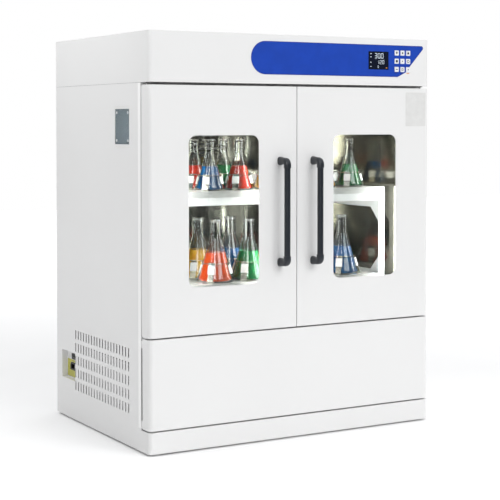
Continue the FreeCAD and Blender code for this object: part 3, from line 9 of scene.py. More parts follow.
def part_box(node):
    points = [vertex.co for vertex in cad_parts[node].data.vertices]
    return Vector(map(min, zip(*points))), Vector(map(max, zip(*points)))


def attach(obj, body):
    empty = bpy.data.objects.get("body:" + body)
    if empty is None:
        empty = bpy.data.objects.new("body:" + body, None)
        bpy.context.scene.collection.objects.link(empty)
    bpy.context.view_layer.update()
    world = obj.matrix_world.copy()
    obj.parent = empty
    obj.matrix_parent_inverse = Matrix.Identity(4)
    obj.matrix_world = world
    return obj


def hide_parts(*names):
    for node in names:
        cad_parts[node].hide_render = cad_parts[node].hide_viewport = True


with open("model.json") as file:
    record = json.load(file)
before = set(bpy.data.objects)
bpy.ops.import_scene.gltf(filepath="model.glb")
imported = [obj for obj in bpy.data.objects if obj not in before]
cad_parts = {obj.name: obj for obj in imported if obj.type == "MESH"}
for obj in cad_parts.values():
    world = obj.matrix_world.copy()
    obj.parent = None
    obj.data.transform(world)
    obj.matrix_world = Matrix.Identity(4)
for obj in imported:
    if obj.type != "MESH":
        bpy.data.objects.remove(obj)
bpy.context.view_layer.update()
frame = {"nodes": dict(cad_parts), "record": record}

# Upright incubated shaker. Lengths are in millimetres in the part's own frame, unless a heading says
# otherwise, and MM turns them into metres.
MM = 0.001
# Edges that turn by more than this many degrees stay crisp
SHARP_ANGLE = 35.0
DOORS = ((-1, "left_door"), (1, "right_door"))

# Cabinet front, doors and windows
Y_FRONT = -380.0
SHEET = 1.5
WINDOW_X = (153.0, 437.0)
WINDOW_Z = (561.0, 1089.0)
WINDOW_RADIUS = 32.0
BEAD_WIDTH = 3.5
BEAD_SETBACK = 0.3
NOTICE_X = (478.0, 571.0)
NOTICE_Z = (1116.0, 1242.0)
NOTICE_CORNER = 2.0
NOTICE_THICKNESS = 0.2
DOOR_LIP_X = (579.0, 584.5)
DOOR_LIP_Y = (-327.0, -323.2)
DOOR_LIP_Z = (405.0, 1253.0)
# A whiter strip down each side panel's front edge, a painted highlight
EDGE_HIGHLIGHT_X = (585.0, 585.5)
EDGE_HIGHLIGHT_Y = (-318.0, -297.0)
EDGE_HIGHLIGHT_Z = (86.0, 1264.0)

# Plate round the mains inlet, on the pocket's back wall; the hole's heights count from the plate's foot
PLATE_MARGIN = 4.0
PLATE_HEIGHT = 66.0
PLATE_CORNER = 3.0
PLATE_THICKNESS = 0.8
PLATE_HOLE_GAP = 0.5
PLATE_HOLE_Z = (27.0, 57.0)
PLATE_HOLE_CORNER = 1.0

# Screws on the side window and the rear panel, set in from their edges
SCREW_RADIUS = 5.0
PANE_SCREW_HEIGHT = 1.4
PANE_SCREW_INSET = 13.0
REAR_SCREW_HEIGHT = 2.2
REAR_SCREW_INSET_X = 14.0
REAR_SCREW_INSET_Z = 40.0
REAR_SCREW_ROWS = 6

# Handles; the foot is given as pairs of distance from the door and added half depth
HANDLE_X = 69.0
HANDLE_Z = (620.0, 1009.0)
HANDLE_REACH = 60.0
HANDLE_WIDTH = 24.0
HANDLE_FOOT = 40.0
HANDLE_BAR_RADIUS = 11.0
HANDLE_BEND = 14.0
FOOT_PROFILE = ((0.0, 3.0), (8.0, 2.6), (14.0, 1.0))
SOCKET_WALL = 1.0
SOCKET_EDGE = 1.5
BAR_OVERLAP = 3.0
SQUARENESS = 0.7

# Control panel
FILM_LEFT, FILM_RIGHT_LOW, FILM_RIGHT_HIGH = -189.0, 440.0, 568.0
FILM_STEP_HEIGHT = 1317.0
FILM_STEP_WIDTH = 15.8
FILM_STEP_RADIUS = 0.4
FILM_Z = (1299.0, 1416.0)
FILM_CORNER = 8.0
FILM_BORDER = 2.6
FILM_FRONT = Y_FRONT - 0.6
DISPLAY_X = (308.5, 399.0)
DISPLAY_Z = (1325.0, 1391.5)
KEY_X = (435.5, 461.75, 488.0)
KEY_Z = (1388.0, 1357.5, 1327.0)
KEY_OPENING_HALF = 9.55
KEY_FRONT = FILM_FRONT - 1.4
OPENING_CORNER = 1.0
INK = 0.15

# Signs on the display, from its lower left corner: each row as (digits, x, z, height, pitch), and dashes as
# (x0, x1, z0, z1), also for the lamps beside the rows
DIGIT_ROWS = (
    ("300", 29.0, 42.0, 17.0, 14.0),
    ("120", 40.0, 21.0, 13.0, 11.5),
    ("0", 42.0, 6.0, 8.0, 0.0),
)
DIGIT_WIDTH, DIGIT_LINE = 0.52, 0.12
DECIMAL_POINT = (54.0, 56.0, 42.0, 44.0)
ROW_LAMPS_X = (8.0, 14.0)
ROW_LAMPS_Z = (10.0, 25.0, 45.0, 57.0)
ROW_LAMP_HEIGHT = 2.0
ORANGE_LAMP = (78.5, 84.5, 5.0, 8.0)

# Marks under the lowest keys, from the key's middle
ROW_MARK = (-7.0, 3.0, -14.0, -12.0)
LAMP_MARK = (-6.0, 6.0, -15.5, -12.5)

# Flasks and clamps: radius, height and neck radius of each size, and the tray that it stands on. The rows
# of liquids say what the flask at (column, row) holds. The lip is given as pairs of distance out from the
# neck and down from the rim
SMALL = {"radius": 52.5, "height": 180.0, "neck": 17.0, "tray": 885.0}
LARGE = {"radius": 65.5, "height": 220.0, "neck": 21.0, "tray": 555.0}
TIERS_X = 51.0
FIRST_ROW_Y = -188.0
UPPER_PITCH, UPPER_COLUMNS, UPPER_ROWS = 121.0, 6, 4
LOWER_PITCH, LOWER_COLUMNS, LOWER_ROWS = 137.0, 5, 3
UPPER_LIQUIDS = {
    (0, 0): "blue", (1, 0): "red", (2, 0): "amber", (3, 0): "blue", (4, 0): "amber",
    (5, 0): "green", (0, 1): "red", (1, 1): "green", (4, 3): "red", (5, 2): "blue",
}
LOWER_LIQUIDS = {
    (0, 0): "orange", (1, 0): "green", (2, 0): "amber", (3, 0): "red", (4, 0): "blue",
    (0, 1): "amber", (1, 1): "blue", (3, 2): "green", (4, 2): "orange",
}
STRIP = 1.5
GLASS_WALL = 1.8
LIQUID_GAP = 0.15
LIP = ((1.0, 7.0), (3.0, 4.0), (3.2, 1.5), (1.8, 0.0))
HEEL_SHARE = 0.13
CONE_STEPS, SHOULDER_STEPS = 12, 3
SHOULDER_BULGE = 2.2
CONE_TOP = 0.72
FILL_LEVEL = 0.47
BAND_LEVEL = 0.31
FINGER_WIDTH = 22.0
FINGER_TURNS = (45.0, 135.0, 225.0, 315.0)
FINGER_BEND = 7.0
ARM_GAP, TIP_GAP = 1.0, 1.6
SLEEVE_GAP, SLEEVE_WIDTH, SLEEVE_THICKNESS = 0.4, 25.0, 3.5
BAND_GAP, BAND_THICKNESS = 4.2, 1.5
DISC_SHARE = 0.36
DISC_EDGE, DISC_HEIGHT, DISC_BEVEL = 2.2, 3.0, 2.0
DISC_SCREW = (4.0, 2.4)

# Light, in metres and watts: strengths of the sky by height and from left to right, the cloths that
# reflections see, and the lamps
SKY_COLOUR = (0.985, 0.99, 1.0, 1.0)
SKY_HEIGHT = (0.68, 1.35)
SKY_ACROSS = (0.42, 1.12)
CLOTH = 0.1
CLOTH_HEIGHT = (0.12, 0.5)
KEY_LIGHT = {"place": (0.8, -4.6, 3.4), "aim": (0.0, 0.0, 0.7), "size": (3.0, 2.2), "power": 108.0}
STREAK = {"place": (-1.95, -2.6, 2.45), "aim": (0.0, -0.3, 0.85), "size": (0.9, 1.4), "power": 70.0}
SIDE_WASH = {"place": (-1.7, 0.2, 2.3), "aim": (-0.585, 0.0, 1.35), "size": (0.6, 0.6), "power": 13.0}
CEILING = {"place": (0.0, -0.1, 1.19), "aim": (0.0, -0.1, 0.9), "size": (0.9, 0.3), "power": 2.5}
CEILING_COLOUR = (1.0, 0.97, 0.9)
DOOR_LIGHT_Y, DOOR_LIGHT_Z = -0.29, 0.83
FILLS = ((-0.46, 7.0), (-0.03, 4.5), (0.03, 3.6), (0.46, 3.6))
FILL_SIZE, FILL_AIM_Y = (0.07, 0.62), 0.2
GLINTS_X = (-0.49, -0.02)
GLINT_SIZE, GLINT_AIM_X, GLINT_POWER = (0.03, 0.62), 0.2, 1.8

# Floor, in metres: how far it reaches, and its painted glow at a near and a far distance
FLOOR_REACH, FLOOR_FRONT = 12.0, -2.6
FLOOR_PAINTED_GLOW = (0.02, 0.3)
FLOOR_PAINTED_GLOW_REACH = (1.5, 5.0)

# Camera of the photograph; yaw and pitch in degrees, the shift as a share of the frame
CAMERA_PLACE = (-2572.8, -4503.7, 1130.1)
CAMERA_YAW = 29.99
CAMERA_PITCH = 1.83
CAMERA_LENS = 98.15
CAMERA_SENSOR = 36.0
CAMERA_SHIFT = -0.168


# Shapes: each is a list of corners and a list of faces


def joined(shapes):
    corners, faces = [], []
    for more_corners, more_faces in shapes:
        start = len(corners)
        corners.extend(more_corners)
        faces.extend([tuple(start + i for i in face) for face in more_faces])
    return corners, faces


def moved(shape, place, turn=0.0):
    """The shape turned about its upright axis, in degrees, and then moved."""
    cos, sin = math.cos(math.radians(turn)), math.sin(math.radians(turn))
    corners = [(x * cos - y * sin, x * sin + y * cos, z) for x, y, z in shape[0]]
    return [tuple(a + b for a, b in zip(corner, place)) for corner in corners], shape[1]


def tipped(shape, axis):
    """The shape with its upright axis laid along x or y."""
    if axis == "x":
        return [(z, y, -x) for x, y, z in shape[0]], shape[1]
    return [(x, z, -y) for x, y, z in shape[0]], shape[1]


def revolved(profile, steps=40):
    """A body of revolution; the profile is a list of (radius, height), and radius 0 closes it."""
    corners, rings, faces = [], [], []
    for radius, height in profile:
        count = steps if radius else 1
        rings.append([len(corners) + i for i in range(count)])
        angles = [2 * math.pi * i / count for i in range(count)]
        corners.extend([(radius * math.cos(a), radius * math.sin(a), height) for a in angles])
    for lower, upper in zip(rings, rings[1:]):
        for i in range(steps):
            j = i + 1
            face = [lower[i % len(lower)], lower[j % len(lower)]]
            face += [upper[j % len(upper)], upper[i % len(upper)]]
            faces.append(tuple(dict.fromkeys(face)))
    return corners, faces


def torus(radius, thickness, height, steps=48, sides=8):
    """A closed ring of round wire."""
    corners, faces = [], []
    for i in range(steps):
        a = 2 * math.pi * i / steps
        for k in range(sides):
            b = 2 * math.pi * k / sides
            reach = radius + thickness * math.cos(b)
            corners.append((reach * math.cos(a), reach * math.sin(a), height + thickness * math.sin(b)))
            j, m = (i + 1) % steps, (k + 1) % sides
            faces.append((i * sides + k, j * sides + k, j * sides + m, i * sides + m))
    return corners, faces


def place_in(plane, u, v, w):
    return {"xz": (u, w, v), "yz": (w, u, v), "xy": (u, v, w)}[plane]


def prism(plane, outline, low, high):
    """A flat outline drawn out from low to high along the axis that its plane leaves out."""
    count = len(outline)
    corners = [place_in(plane, u, v, w) for w in (low, high) for u, v in outline]
    faces = [tuple(range(count)), tuple(range(2 * count - 1, count - 1, -1))]
    for i in range(count):
        j = (i + 1) % count
        faces.append((i, j, count + j, count + i))
    return corners, faces


def ring(plane, outer, inner, low, high):
    """The frame between two outlines with as many points each."""
    count = len(outer)
    points = [*outer, *inner]
    corners = [place_in(plane, u, v, w) for w in (low, high) for u, v in points]
    faces = []
    for i in range(count):
        j = (i + 1) % count
        for a, b in ((0, 1), (1, 3), (3, 2), (2, 0)):
            faces.append((a * count + i, a * count + j, b * count + j, b * count + i))
    return corners, faces


def sheet(plane, loops, low, high):
    """A flat sheet; the first loop is its outline and the others are holes in it."""
    points = [point for loop in loops for point in loop]
    count, start = len(points), 0
    corners = [place_in(plane, u, v, w) for w in (low, high) for u, v in points]
    faces = []
    for a, b, c in tessellate_polygon([[Vector((u, v, 0.0)) for u, v in loop] for loop in loops]):
        faces += [(a, b, c), (count + c, count + b, count + a)]
    for loop in loops:
        for i in range(len(loop)):
            first, second = start + i, start + (i + 1) % len(loop)
            faces.append((first, second, count + second, count + first))
        start += len(loop)
    return corners, faces


def rectangle(u0, u1, v0, v1, radius=0.0):
    return rounded([(u0, v0, radius), (u1, v0, radius), (u1, v1, radius), (u0, v1, radius)])


def rounded(corners, steps=10):
    """An outline through corners given as (u, v, radius), with an arc at each of them."""
    outline = []
    for i, (u, v, radius) in enumerate(corners):
        if not radius:
            outline.append((u, v))
            continue
        here = Vector((u, v))
        back = (Vector(corners[i - 1][:2]) - here).normalized()
        ahead = (Vector(corners[(i + 1) % len(corners)][:2]) - here).normalized()
        half = back.angle(ahead) / 2
        middle = here + (back + ahead).normalized() * (radius / math.sin(half))
        start = here + back * (radius / math.tan(half)) - middle
        end = here + ahead * (radius / math.tan(half)) - middle
        for k in range(steps + 1):
            share = k / steps
            way = start.slerp(end, share).normalized() * radius
            outline.append(tuple(middle + way))
    return outline


def shrunk(corners, amount):
    """The corners of a counterclockwise outline moved inwards, with smaller arcs."""
    made = []
    for i, (u, v, radius) in enumerate(corners):
        here = Vector((u, v))
        back = (here - Vector(corners[i - 1][:2])).normalized()
        ahead = (Vector(corners[(i + 1) % len(corners)][:2]) - here).normalized()
        left_back, left_ahead = Vector((-back.y, back.x)), Vector((-ahead.y, ahead.x))
        way = (left_back + left_ahead).normalized()
        place = here + way * (amount / way.dot(left_back))
        made.append((place.x, place.y, max(radius - amount, 0.5)))
    return made


def bent_strip(path, width, thickness):
    """A flat strip that follows a path of (out, up) points."""
    corners, faces = [], []
    for i, point in enumerate(path):
        back = Vector(path[max(i - 1, 0)])
        ahead = Vector(path[min(i + 1, len(path) - 1)])
        along = (ahead - back).normalized()
        side = Vector((-along.y, along.x)) * (thickness / 2)
        for way_y, way_n in ((-1, -1), (1, -1), (1, 1), (-1, 1)):
            spot = Vector(point) + side * way_n
            corners.append((spot.x, way_y * width / 2, spot.y))
    for i in range(len(path) - 1):
        for k in range(4):
            m = (k + 1) % 4
            faces.append((4 * i + k, 4 * i + m, 4 * i + 4 + m, 4 * i + 4 + k))
    last = 4 * (len(path) - 1)
    faces += [(3, 2, 1, 0), (last, last + 1, last + 2, last + 3)]
    return corners, faces


def arc_points(centre, radius, start, end, steps):
    angles = [math.radians(start + (end - start) * i / steps) for i in range(steps + 1)]
    return [(centre[0] + radius * math.cos(a), centre[1] + radius * math.sin(a)) for a in angles]


def screw_head(radius, height):
    """A pan head with a cross recess, its axis upright."""
    top = [(radius, 0.0), (radius, 0.35 * height), (0.82 * radius, 0.8 * height), (0.5 * radius, height)]
    return revolved([(0.0, 0.0)] + top + [(0.16 * radius, height), (0.0, 0.45 * height)], 20)


# Materials


def new_material(name, colour, **sockets):
    """A node material; the sockets given are the same all over."""
    made = bpy.data.materials.new(name)
    made.use_nodes = True
    shader = made.node_tree.nodes["Principled BSDF"]
    shader.inputs["Base Color"].default_value = (*colour, 1.0)
    for socket, value in sockets.items():
        shader.inputs[socket.replace("_", " ")].default_value = value
    return made


def shader_of(made):
    return made.node_tree.nodes["Principled BSDF"]


TEXTURES = {
    "noise": "ShaderNodeTexNoise",
    "cells": "ShaderNodeTexVoronoi",
    "waves": "ShaderNodeTexWave",
}


def pattern(made, kind, scale, stretch=(1.0, 1.0, 1.0)):
    """A noise, cell or wave pattern in the part's own space; returns its value."""
    nodes, links = made.node_tree.nodes, made.node_tree.links
    place = nodes.new("ShaderNodeTexCoord")
    mapping = nodes.new("ShaderNodeMapping")
    mapping.inputs["Scale"].default_value = stretch
    texture = nodes.new(TEXTURES[kind])
    texture.inputs["Scale"].default_value = scale
    links.new(place.outputs["Object"], mapping.inputs["Vector"])
    links.new(mapping.outputs["Vector"], texture.inputs["Vector"])
    return texture.outputs["Distance" if kind == "cells" else "Fac"]


def spread(made, value, low, high):
    """The value's middle range stretched from low to high."""
    node = made.node_tree.nodes.new("ShaderNodeMapRange")
    node.inputs["From Min"].default_value = 0.3
    node.inputs["From Max"].default_value = 0.7
    node.inputs["To Min"].default_value = low
    node.inputs["To Max"].default_value = high
    made.node_tree.links.new(value, node.inputs["Value"])
    return node.outputs["Result"]


def vary_roughness(made, value, low, high):
    made.node_tree.links.new(spread(made, value, low, high), shader_of(made).inputs["Roughness"])


def vary_colour(made, value, first, second):
    node = made.node_tree.nodes.new("ShaderNodeMix")
    node.data_type = "RGBA"
    node.inputs["A"].default_value = (*first, 1.0)
    node.inputs["B"].default_value = (*second, 1.0)
    made.node_tree.links.new(spread(made, value, 0.0, 1.0), node.inputs["Factor"])
    made.node_tree.links.new(node.outputs["Result"], shader_of(made).inputs["Base Color"])


def raise_grain(made, value, depth, strength=1.0):
    """A bump as deep as the real surface's relief, in millimetres."""
    node = made.node_tree.nodes.new("ShaderNodeBump")
    node.inputs["Distance"].default_value = depth * MM
    node.inputs["Strength"].default_value = strength
    made.node_tree.links.new(value, node.inputs["Height"])
    made.node_tree.links.new(node.outputs["Normal"], shader_of(made).inputs["Normal"])


def shade(colour, factor):
    return tuple(factor * c for c in colour)


def paint(name, colour, rough=(0.34, 0.42), peel=0.03):
    """Powder coat: an even colour, slightly clouded, with a fine orange peel."""
    made = new_material(name, colour)
    vary_colour(made, pattern(made, "noise", 2.2), shade(colour, 0.985), colour)
    vary_roughness(made, pattern(made, "noise", 60.0), *rough)
    raise_grain(made, pattern(made, "noise", 420.0), peel, 0.6)
    return made


def brushed(name, colour, rough=(0.22, 0.36), stretch=(3.0, 300.0, 300.0), depth=0.01, metallic=1.0):
    """Sheet steel with a fine grain along the axis whose stretch is small."""
    made = new_material(name, colour, Metallic=metallic)
    grain = pattern(made, "noise", 4.0, stretch)
    vary_colour(made, pattern(made, "noise", 5.0), shade(colour, 0.86), colour)
    vary_roughness(made, grain, *rough)
    raise_grain(made, grain, depth, 0.5)
    return made


def machined(name, colour, rough=(0.2, 0.38)):
    """Turned or plated metal with fine scratches and slight stains."""
    made = new_material(name, colour, Metallic=1.0)
    vary_colour(made, pattern(made, "noise", 18.0), shade(colour, 0.78), colour)
    vary_roughness(made, pattern(made, "noise", 90.0), *rough)
    raise_grain(made, pattern(made, "noise", 600.0), 0.01, 0.4)
    return made


def cast(name, colour):
    """Cast or rough painted metal."""
    made = new_material(name, colour, Metallic=0.1)
    vary_colour(made, pattern(made, "noise", 30.0), shade(colour, 0.75), colour)
    vary_roughness(made, pattern(made, "noise", 80.0), 0.45, 0.7)
    raise_grain(made, pattern(made, "noise", 260.0), 0.15, 0.7)
    return made


def moulded(name, colour, rough=(0.32, 0.46), grain=900.0, depth=0.03, **sockets):
    """Moulded plastic or rubber with a fine leather grain."""
    made = new_material(name, colour, **sockets)
    vary_colour(made, pattern(made, "noise", 25.0), shade(colour, 0.88), colour)
    vary_roughness(made, pattern(made, "noise", 70.0), *rough)
    raise_grain(made, pattern(made, "cells", grain), depth, 0.5)
    return made


def cellular(name, colour):
    """Foam or fibre with open cells."""
    made = new_material(name, colour, Roughness=0.9)
    vary_colour(made, pattern(made, "cells", 220.0), shade(colour, 0.7), colour)
    raise_grain(made, pattern(made, "cells", 260.0), 0.5, 0.8)
    return made


def clear(name, colour, ior=1.45, rough=(0.0, 0.012)):
    """Clear glass with the faintest smears."""
    made = new_material(name, colour, IOR=ior, Transmission_Weight=1.0)
    vary_roughness(made, pattern(made, "noise", 14.0), *rough)
    raise_grain(made, pattern(made, "noise", 9.0), 0.02, 0.15)
    return made


def liquid(name, colour):
    """Coloured solution, a little cloudy."""
    made = new_material(name, colour, IOR=1.33, Transmission_Weight=0.12)
    vary_colour(made, pattern(made, "noise", 16.0), shade(colour, 0.8), colour)
    vary_roughness(made, pattern(made, "noise", 30.0), 0.02, 0.1)
    return made


def finned():
    """Aluminium fins: close gaps between bright edges, the gaps painted dark as shade."""
    made = new_material("fin_aluminium_painted_shade", (0.6, 0.61, 0.62), Metallic=1.0)
    fin_relief_and_gap_shade = pattern(made, "waves", 120.0)
    # Painted shade: the gaps between the fins darkened, from the same waves that give the bump
    vary_colour(made, fin_relief_and_gap_shade, (0.16, 0.17, 0.18), (0.7, 0.71, 0.72))
    vary_roughness(made, pattern(made, "noise", 50.0), 0.25, 0.45)
    raise_grain(made, fin_relief_and_gap_shade, 0.6, 0.8)
    return made


def circuit():
    """A green board with paler tracks."""
    made = new_material("board_finish", (0.02, 0.13, 0.06), Roughness=0.4)
    vary_colour(made, pattern(made, "cells", 160.0), (0.05, 0.22, 0.1), (0.01, 0.09, 0.04))
    raise_grain(made, pattern(made, "cells", 160.0), 0.05, 0.6)
    return made


def glowing(name, colour, strength):
    made = moulded(name, colour, Emission_Strength=strength)
    shader_of(made).inputs["Emission Color"].default_value = (*colour, 1.0)
    return made


def paper():
    made = new_material("sheet_finish", (0.65, 0.65, 0.64))
    vary_colour(made, pattern(made, "noise", 40.0), (0.63, 0.63, 0.62), (0.68, 0.68, 0.67))
    vary_roughness(made, pattern(made, "noise", 120.0), 0.5, 0.65)
    raise_grain(made, pattern(made, "noise", 500.0), 0.02, 0.5)
    return made


WHITE = (0.76, 0.76, 0.756)
FINISHES = {
    "cabinet_paint": paint("cabinet_paint_finish", WHITE),
    "frame_paint": paint("frame_paint_finish", (0.34, 0.35, 0.36)),
    "cradle_paint": paint("cradle_paint_finish", (0.92, 0.92, 0.91)),
    "chamber_steel": brushed(
        "chamber_steel_finish", (0.37, 0.36, 0.305), (0.07, 0.15), (300.0, 300.0, 3.0), 0.003
    ),
    "tray_steel": brushed("tray_steel_finish", (0.76, 0.76, 0.73), (0.24, 0.4), metallic=0.4),
    "clamp_steel": machined("clamp_steel_finish", (0.6, 0.59, 0.53), (0.08, 0.2)),
    "foam": cellular("foam_finish", (0.72, 0.64, 0.42)),
    "door_foam": paint("door_foam_finish", (0.8, 0.8, 0.79)),
    "pane": clear("pane_finish", (0.97, 0.99, 0.985)),
    "flask_glass": clear("flask_glass_finish", (0.985, 0.995, 0.99), 1.47),
    "gasket_rubber": moulded("gasket_rubber_finish", (0.8, 0.8, 0.79), (0.5, 0.65)),
    "handle_plastic": moulded("handle_plastic_finish", (0.014, 0.018, 0.025), (0.3, 0.4), 500.0, 0.002),
    "hinge_steel": machined("hinge_steel_finish", (0.62, 0.62, 0.62)),
    "control_film": moulded(
        "control_film_finish", (0.008, 0.055, 0.42), (0.3, 0.4), 1400.0, 0.01, Specular_IOR_Level=0.3
    ),
    "display_lens": moulded("display_lens_finish", (0.006, 0.009, 0.022), (0.08, 0.14), 1500.0, 0.005),
    "key_plastic": moulded("key_plastic_finish", (0.8, 0.81, 0.83), (0.4, 0.55)),
    "board": circuit(),
    "crank_steel": machined("crank_steel_finish", (0.5, 0.5, 0.5)),
    "housing_iron": cast("housing_iron_finish", (0.1, 0.13, 0.17)),
    "motor_paint": cast("motor_paint_finish", (0.06, 0.09, 0.14)),
    "compressor_paint": paint("compressor_paint_finish", (0.012, 0.012, 0.013), (0.2, 0.35)),
    "fin_aluminium": finned(),
    "belt_rubber": moulded("belt_rubber_finish", (0.016, 0.016, 0.017), (0.6, 0.8), 500.0, 0.1),
    "foot_steel": machined("foot_steel_finish", (0.45, 0.45, 0.45)),
    "lamp_diffuser": glowing("lamp_diffuser_finish", (0.9, 0.93, 1.0), 2.0),
    "fan_plastic": moulded("fan_plastic_finish", (0.03, 0.03, 0.032)),
    "inlet_plastic": moulded("inlet_plastic_finish", (0.012, 0.012, 0.013)),
    "rocker_plastic": moulded("rocker_plastic_finish", (0.02, 0.02, 0.022), (0.2, 0.32)),
}
LIQUIDS = {
    "blue": liquid("blue_liquid", (0.0015, 0.1, 0.32)),
    "red": liquid("red_liquid", (0.72, 0.03, 0.007)),
    "orange": liquid("orange_liquid", (0.95, 0.09, 0.008)),
    "amber": liquid("amber_liquid", (0.97, 0.5, 0.01)),
    "green": liquid("green_liquid", (0.0015, 0.18, 0.04)),
}
EDGE_BLUE = moulded("film_border_finish", (0.008, 0.035, 0.3), (0.3, 0.4), 1400.0, 0.01)
INK_DARK = moulded("dark_ink_finish", (0.02, 0.022, 0.03))
INK_PALE = glowing("pale_digit_finish", (0.6, 0.68, 0.75), 0.2)
INK_ORANGE = moulded("orange_ink_finish", (0.75, 0.3, 0.08))
SLEEVE = moulded("sleeve_finish", (0.85, 0.85, 0.83), (0.4, 0.55))
# Whiter paint for the painted highlight down the side panels' front edges
HIGHLIGHT_WHITE = paint("edge_highlight_paint", (0.9, 0.9, 0.895), (0.3, 0.4))
SIDE_PANE = clear("side_pane_finish", (0.6, 0.67, 0.71))
PLATE_GREEN = moulded("plate_finish", (0.52, 0.5, 0.09), (0.35, 0.5))
PAPER = paper()


def dress_nodes():
    """Gives each node of the frame the finish of its slot."""
    for part in frame["record"]["subparts"]:
        mesh = frame["nodes"][part["node"]].data
        mesh.materials.clear()
        mesh.materials.append(FINISHES[part["material_slot"]])
    frame["nodes"]["side_window_glass"].data.materials[0] = SIDE_PANE


# Pieces


def piece(name, shape, finish, body):
    """A mesh object that rides on a body."""
    mesh = bpy.data.meshes.new(name)
    mesh.from_pydata([tuple(MM * value for value in corner) for corner in shape[0]], [], shape[1])
    work = bmesh.new()
    work.from_mesh(mesh)
    bmesh.ops.recalc_face_normals(work, faces=work.faces)
    work.to_mesh(mesh)
    work.free()
    mesh.materials.append(finish)
    mesh.shade_smooth()
    made = bpy.data.objects.new(name, mesh)
    bpy.context.scene.collection.objects.link(made)
    mesh.set_sharp_from_angle(angle=math.radians(SHARP_ANGLE))
    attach(made, body)
    return made


def wall_radius(size, height):
    """The flask's outer radius at a height above its base."""
    share = min(height / (size["height"] * CONE_TOP), 1.0)
    return size["radius"] + (size["neck"] - size["radius"]) * share


def flask_outline(size, inset, top):
    """The wall from the middle of the base up to a height: heel, cone, curved shoulder and neck."""
    base = size["radius"] - inset
    heel = HEEL_SHARE * size["radius"]
    cone_top = size["height"] * CONE_TOP
    neck = size["neck"] - inset
    points = [(0.0, inset + 2.0), (0.6 * base, inset + 0.4)]
    turn = arc_points((0.0, heel), heel, -90, 10, 6)
    points += [(base - heel + 0.9 * r, inset + z) for r, z in turn]
    for i in range(1, CONE_STEPS + 1):
        z = heel + (cone_top - heel) * i / CONE_STEPS
        radius = wall_radius(size, z) - inset
        share = (i - CONE_STEPS + SHOULDER_STEPS) / SHOULDER_STEPS
        bulge = SHOULDER_BULGE * max(0.0, share) ** 2 * (1 - share)
        points.append((max(radius, neck) + bulge, z))
    points += [(neck, cone_top + 6.0), (neck, size["height"] - 8.0)]
    return [point for point in points if point[1] < top]


def flask_glass(size):
    """The wall as one closed surface: outside up, over the lip, and inside down."""
    height, neck = size["height"], size["neck"]
    outside = flask_outline(size, 0.0, height)
    lip = [(neck + out, height - down) for out, down in LIP]
    mouth = [(neck - GLASS_WALL + 0.8, height), (neck - GLASS_WALL, height - 2.5)]
    inside = flask_outline(size, GLASS_WALL, height)
    return revolved(outside + lip + mouth + inside[::-1], 48)


def flask_liquid(size):
    """What is in the flask, up to its level, a hair inside the wall."""
    level = FILL_LEVEL * size["height"]
    inside = flask_outline(size, GLASS_WALL + LIQUID_GAP, level)
    edge = wall_radius(size, level) - GLASS_WALL - LIQUID_GAP
    return revolved(inside + [(edge, level), (edge - 1.2, level - 0.5), (0.0, level - 0.5)], 48)


def finger_line(size):
    """Where an arm stands up from the tray, how high it rises, and where it ends."""
    rise = BAND_LEVEL * size["height"]
    return size["radius"] + STRIP + ARM_GAP, rise, wall_radius(size, rise) + TIP_GAP


def finger(size):
    """One sprung arm: it lies on the tray, turns up along the wall, and curls round the band."""
    foot, rise, tip = finger_line(size)
    path = [(0.25 * foot, STRIP / 2)]
    path += arc_points((foot - FINGER_BEND, FINGER_BEND + STRIP / 2), FINGER_BEND, -90, -8, 5)
    path += [(foot + (tip - foot) * share, rise * share) for share in (0.35, 0.6, 0.85)]
    path += arc_points((tip + 2.6, rise), 2.8, 190, 60, 6)
    return bent_strip(path, FINGER_WIDTH, STRIP)


def finger_sleeve(size):
    """The white sleeve on the upper half of an arm."""
    foot, rise, tip = finger_line(size)
    shares = (0.45, 0.7, 0.9)
    path = [(foot + (tip - foot) * share + SLEEVE_GAP, rise * share) for share in shares]
    return bent_strip(path, SLEEVE_WIDTH, SLEEVE_THICKNESS)


def band(size):
    """The coiled spring that pulls the arms against the flask."""
    rise = BAND_LEVEL * size["height"]
    return torus(wall_radius(size, rise) + BAND_GAP, BAND_THICKNESS, rise)


def base_disc(size):
    """The round pressed plate in the middle of a clamp, with its screw."""
    radius = DISC_SHARE * size["radius"]
    side = [(0.0, 0.0), (radius, 0.0), (radius, DISC_EDGE)]
    plate = revolved([*side, (radius - DISC_BEVEL, DISC_HEIGHT), (0.0, DISC_HEIGHT)], 28)
    return joined([plate, moved(screw_head(*DISC_SCREW), (0.0, 0.0, DISC_HEIGHT))])


def tier_place(columns, pitch, column, row):
    x = TIERS_X + (column - (columns - 1) / 2) * pitch
    return x, FIRST_ROW_Y + row * pitch + (pitch - UPPER_PITCH) / 2


def tiers():
    """Each flask place as (size, x, y, liquid or None)."""
    places = []
    for size, columns, rows, pitch, liquids in (
        (SMALL, UPPER_COLUMNS, UPPER_ROWS, UPPER_PITCH, UPPER_LIQUIDS),
        (LARGE, LOWER_COLUMNS, LOWER_ROWS, LOWER_PITCH, LOWER_LIQUIDS),
    ):
        for column in range(columns):
            for row in range(rows):
                x, y = tier_place(columns, pitch, column, row)
                places.append((size, x, y, liquids.get((column, row))))
    return places


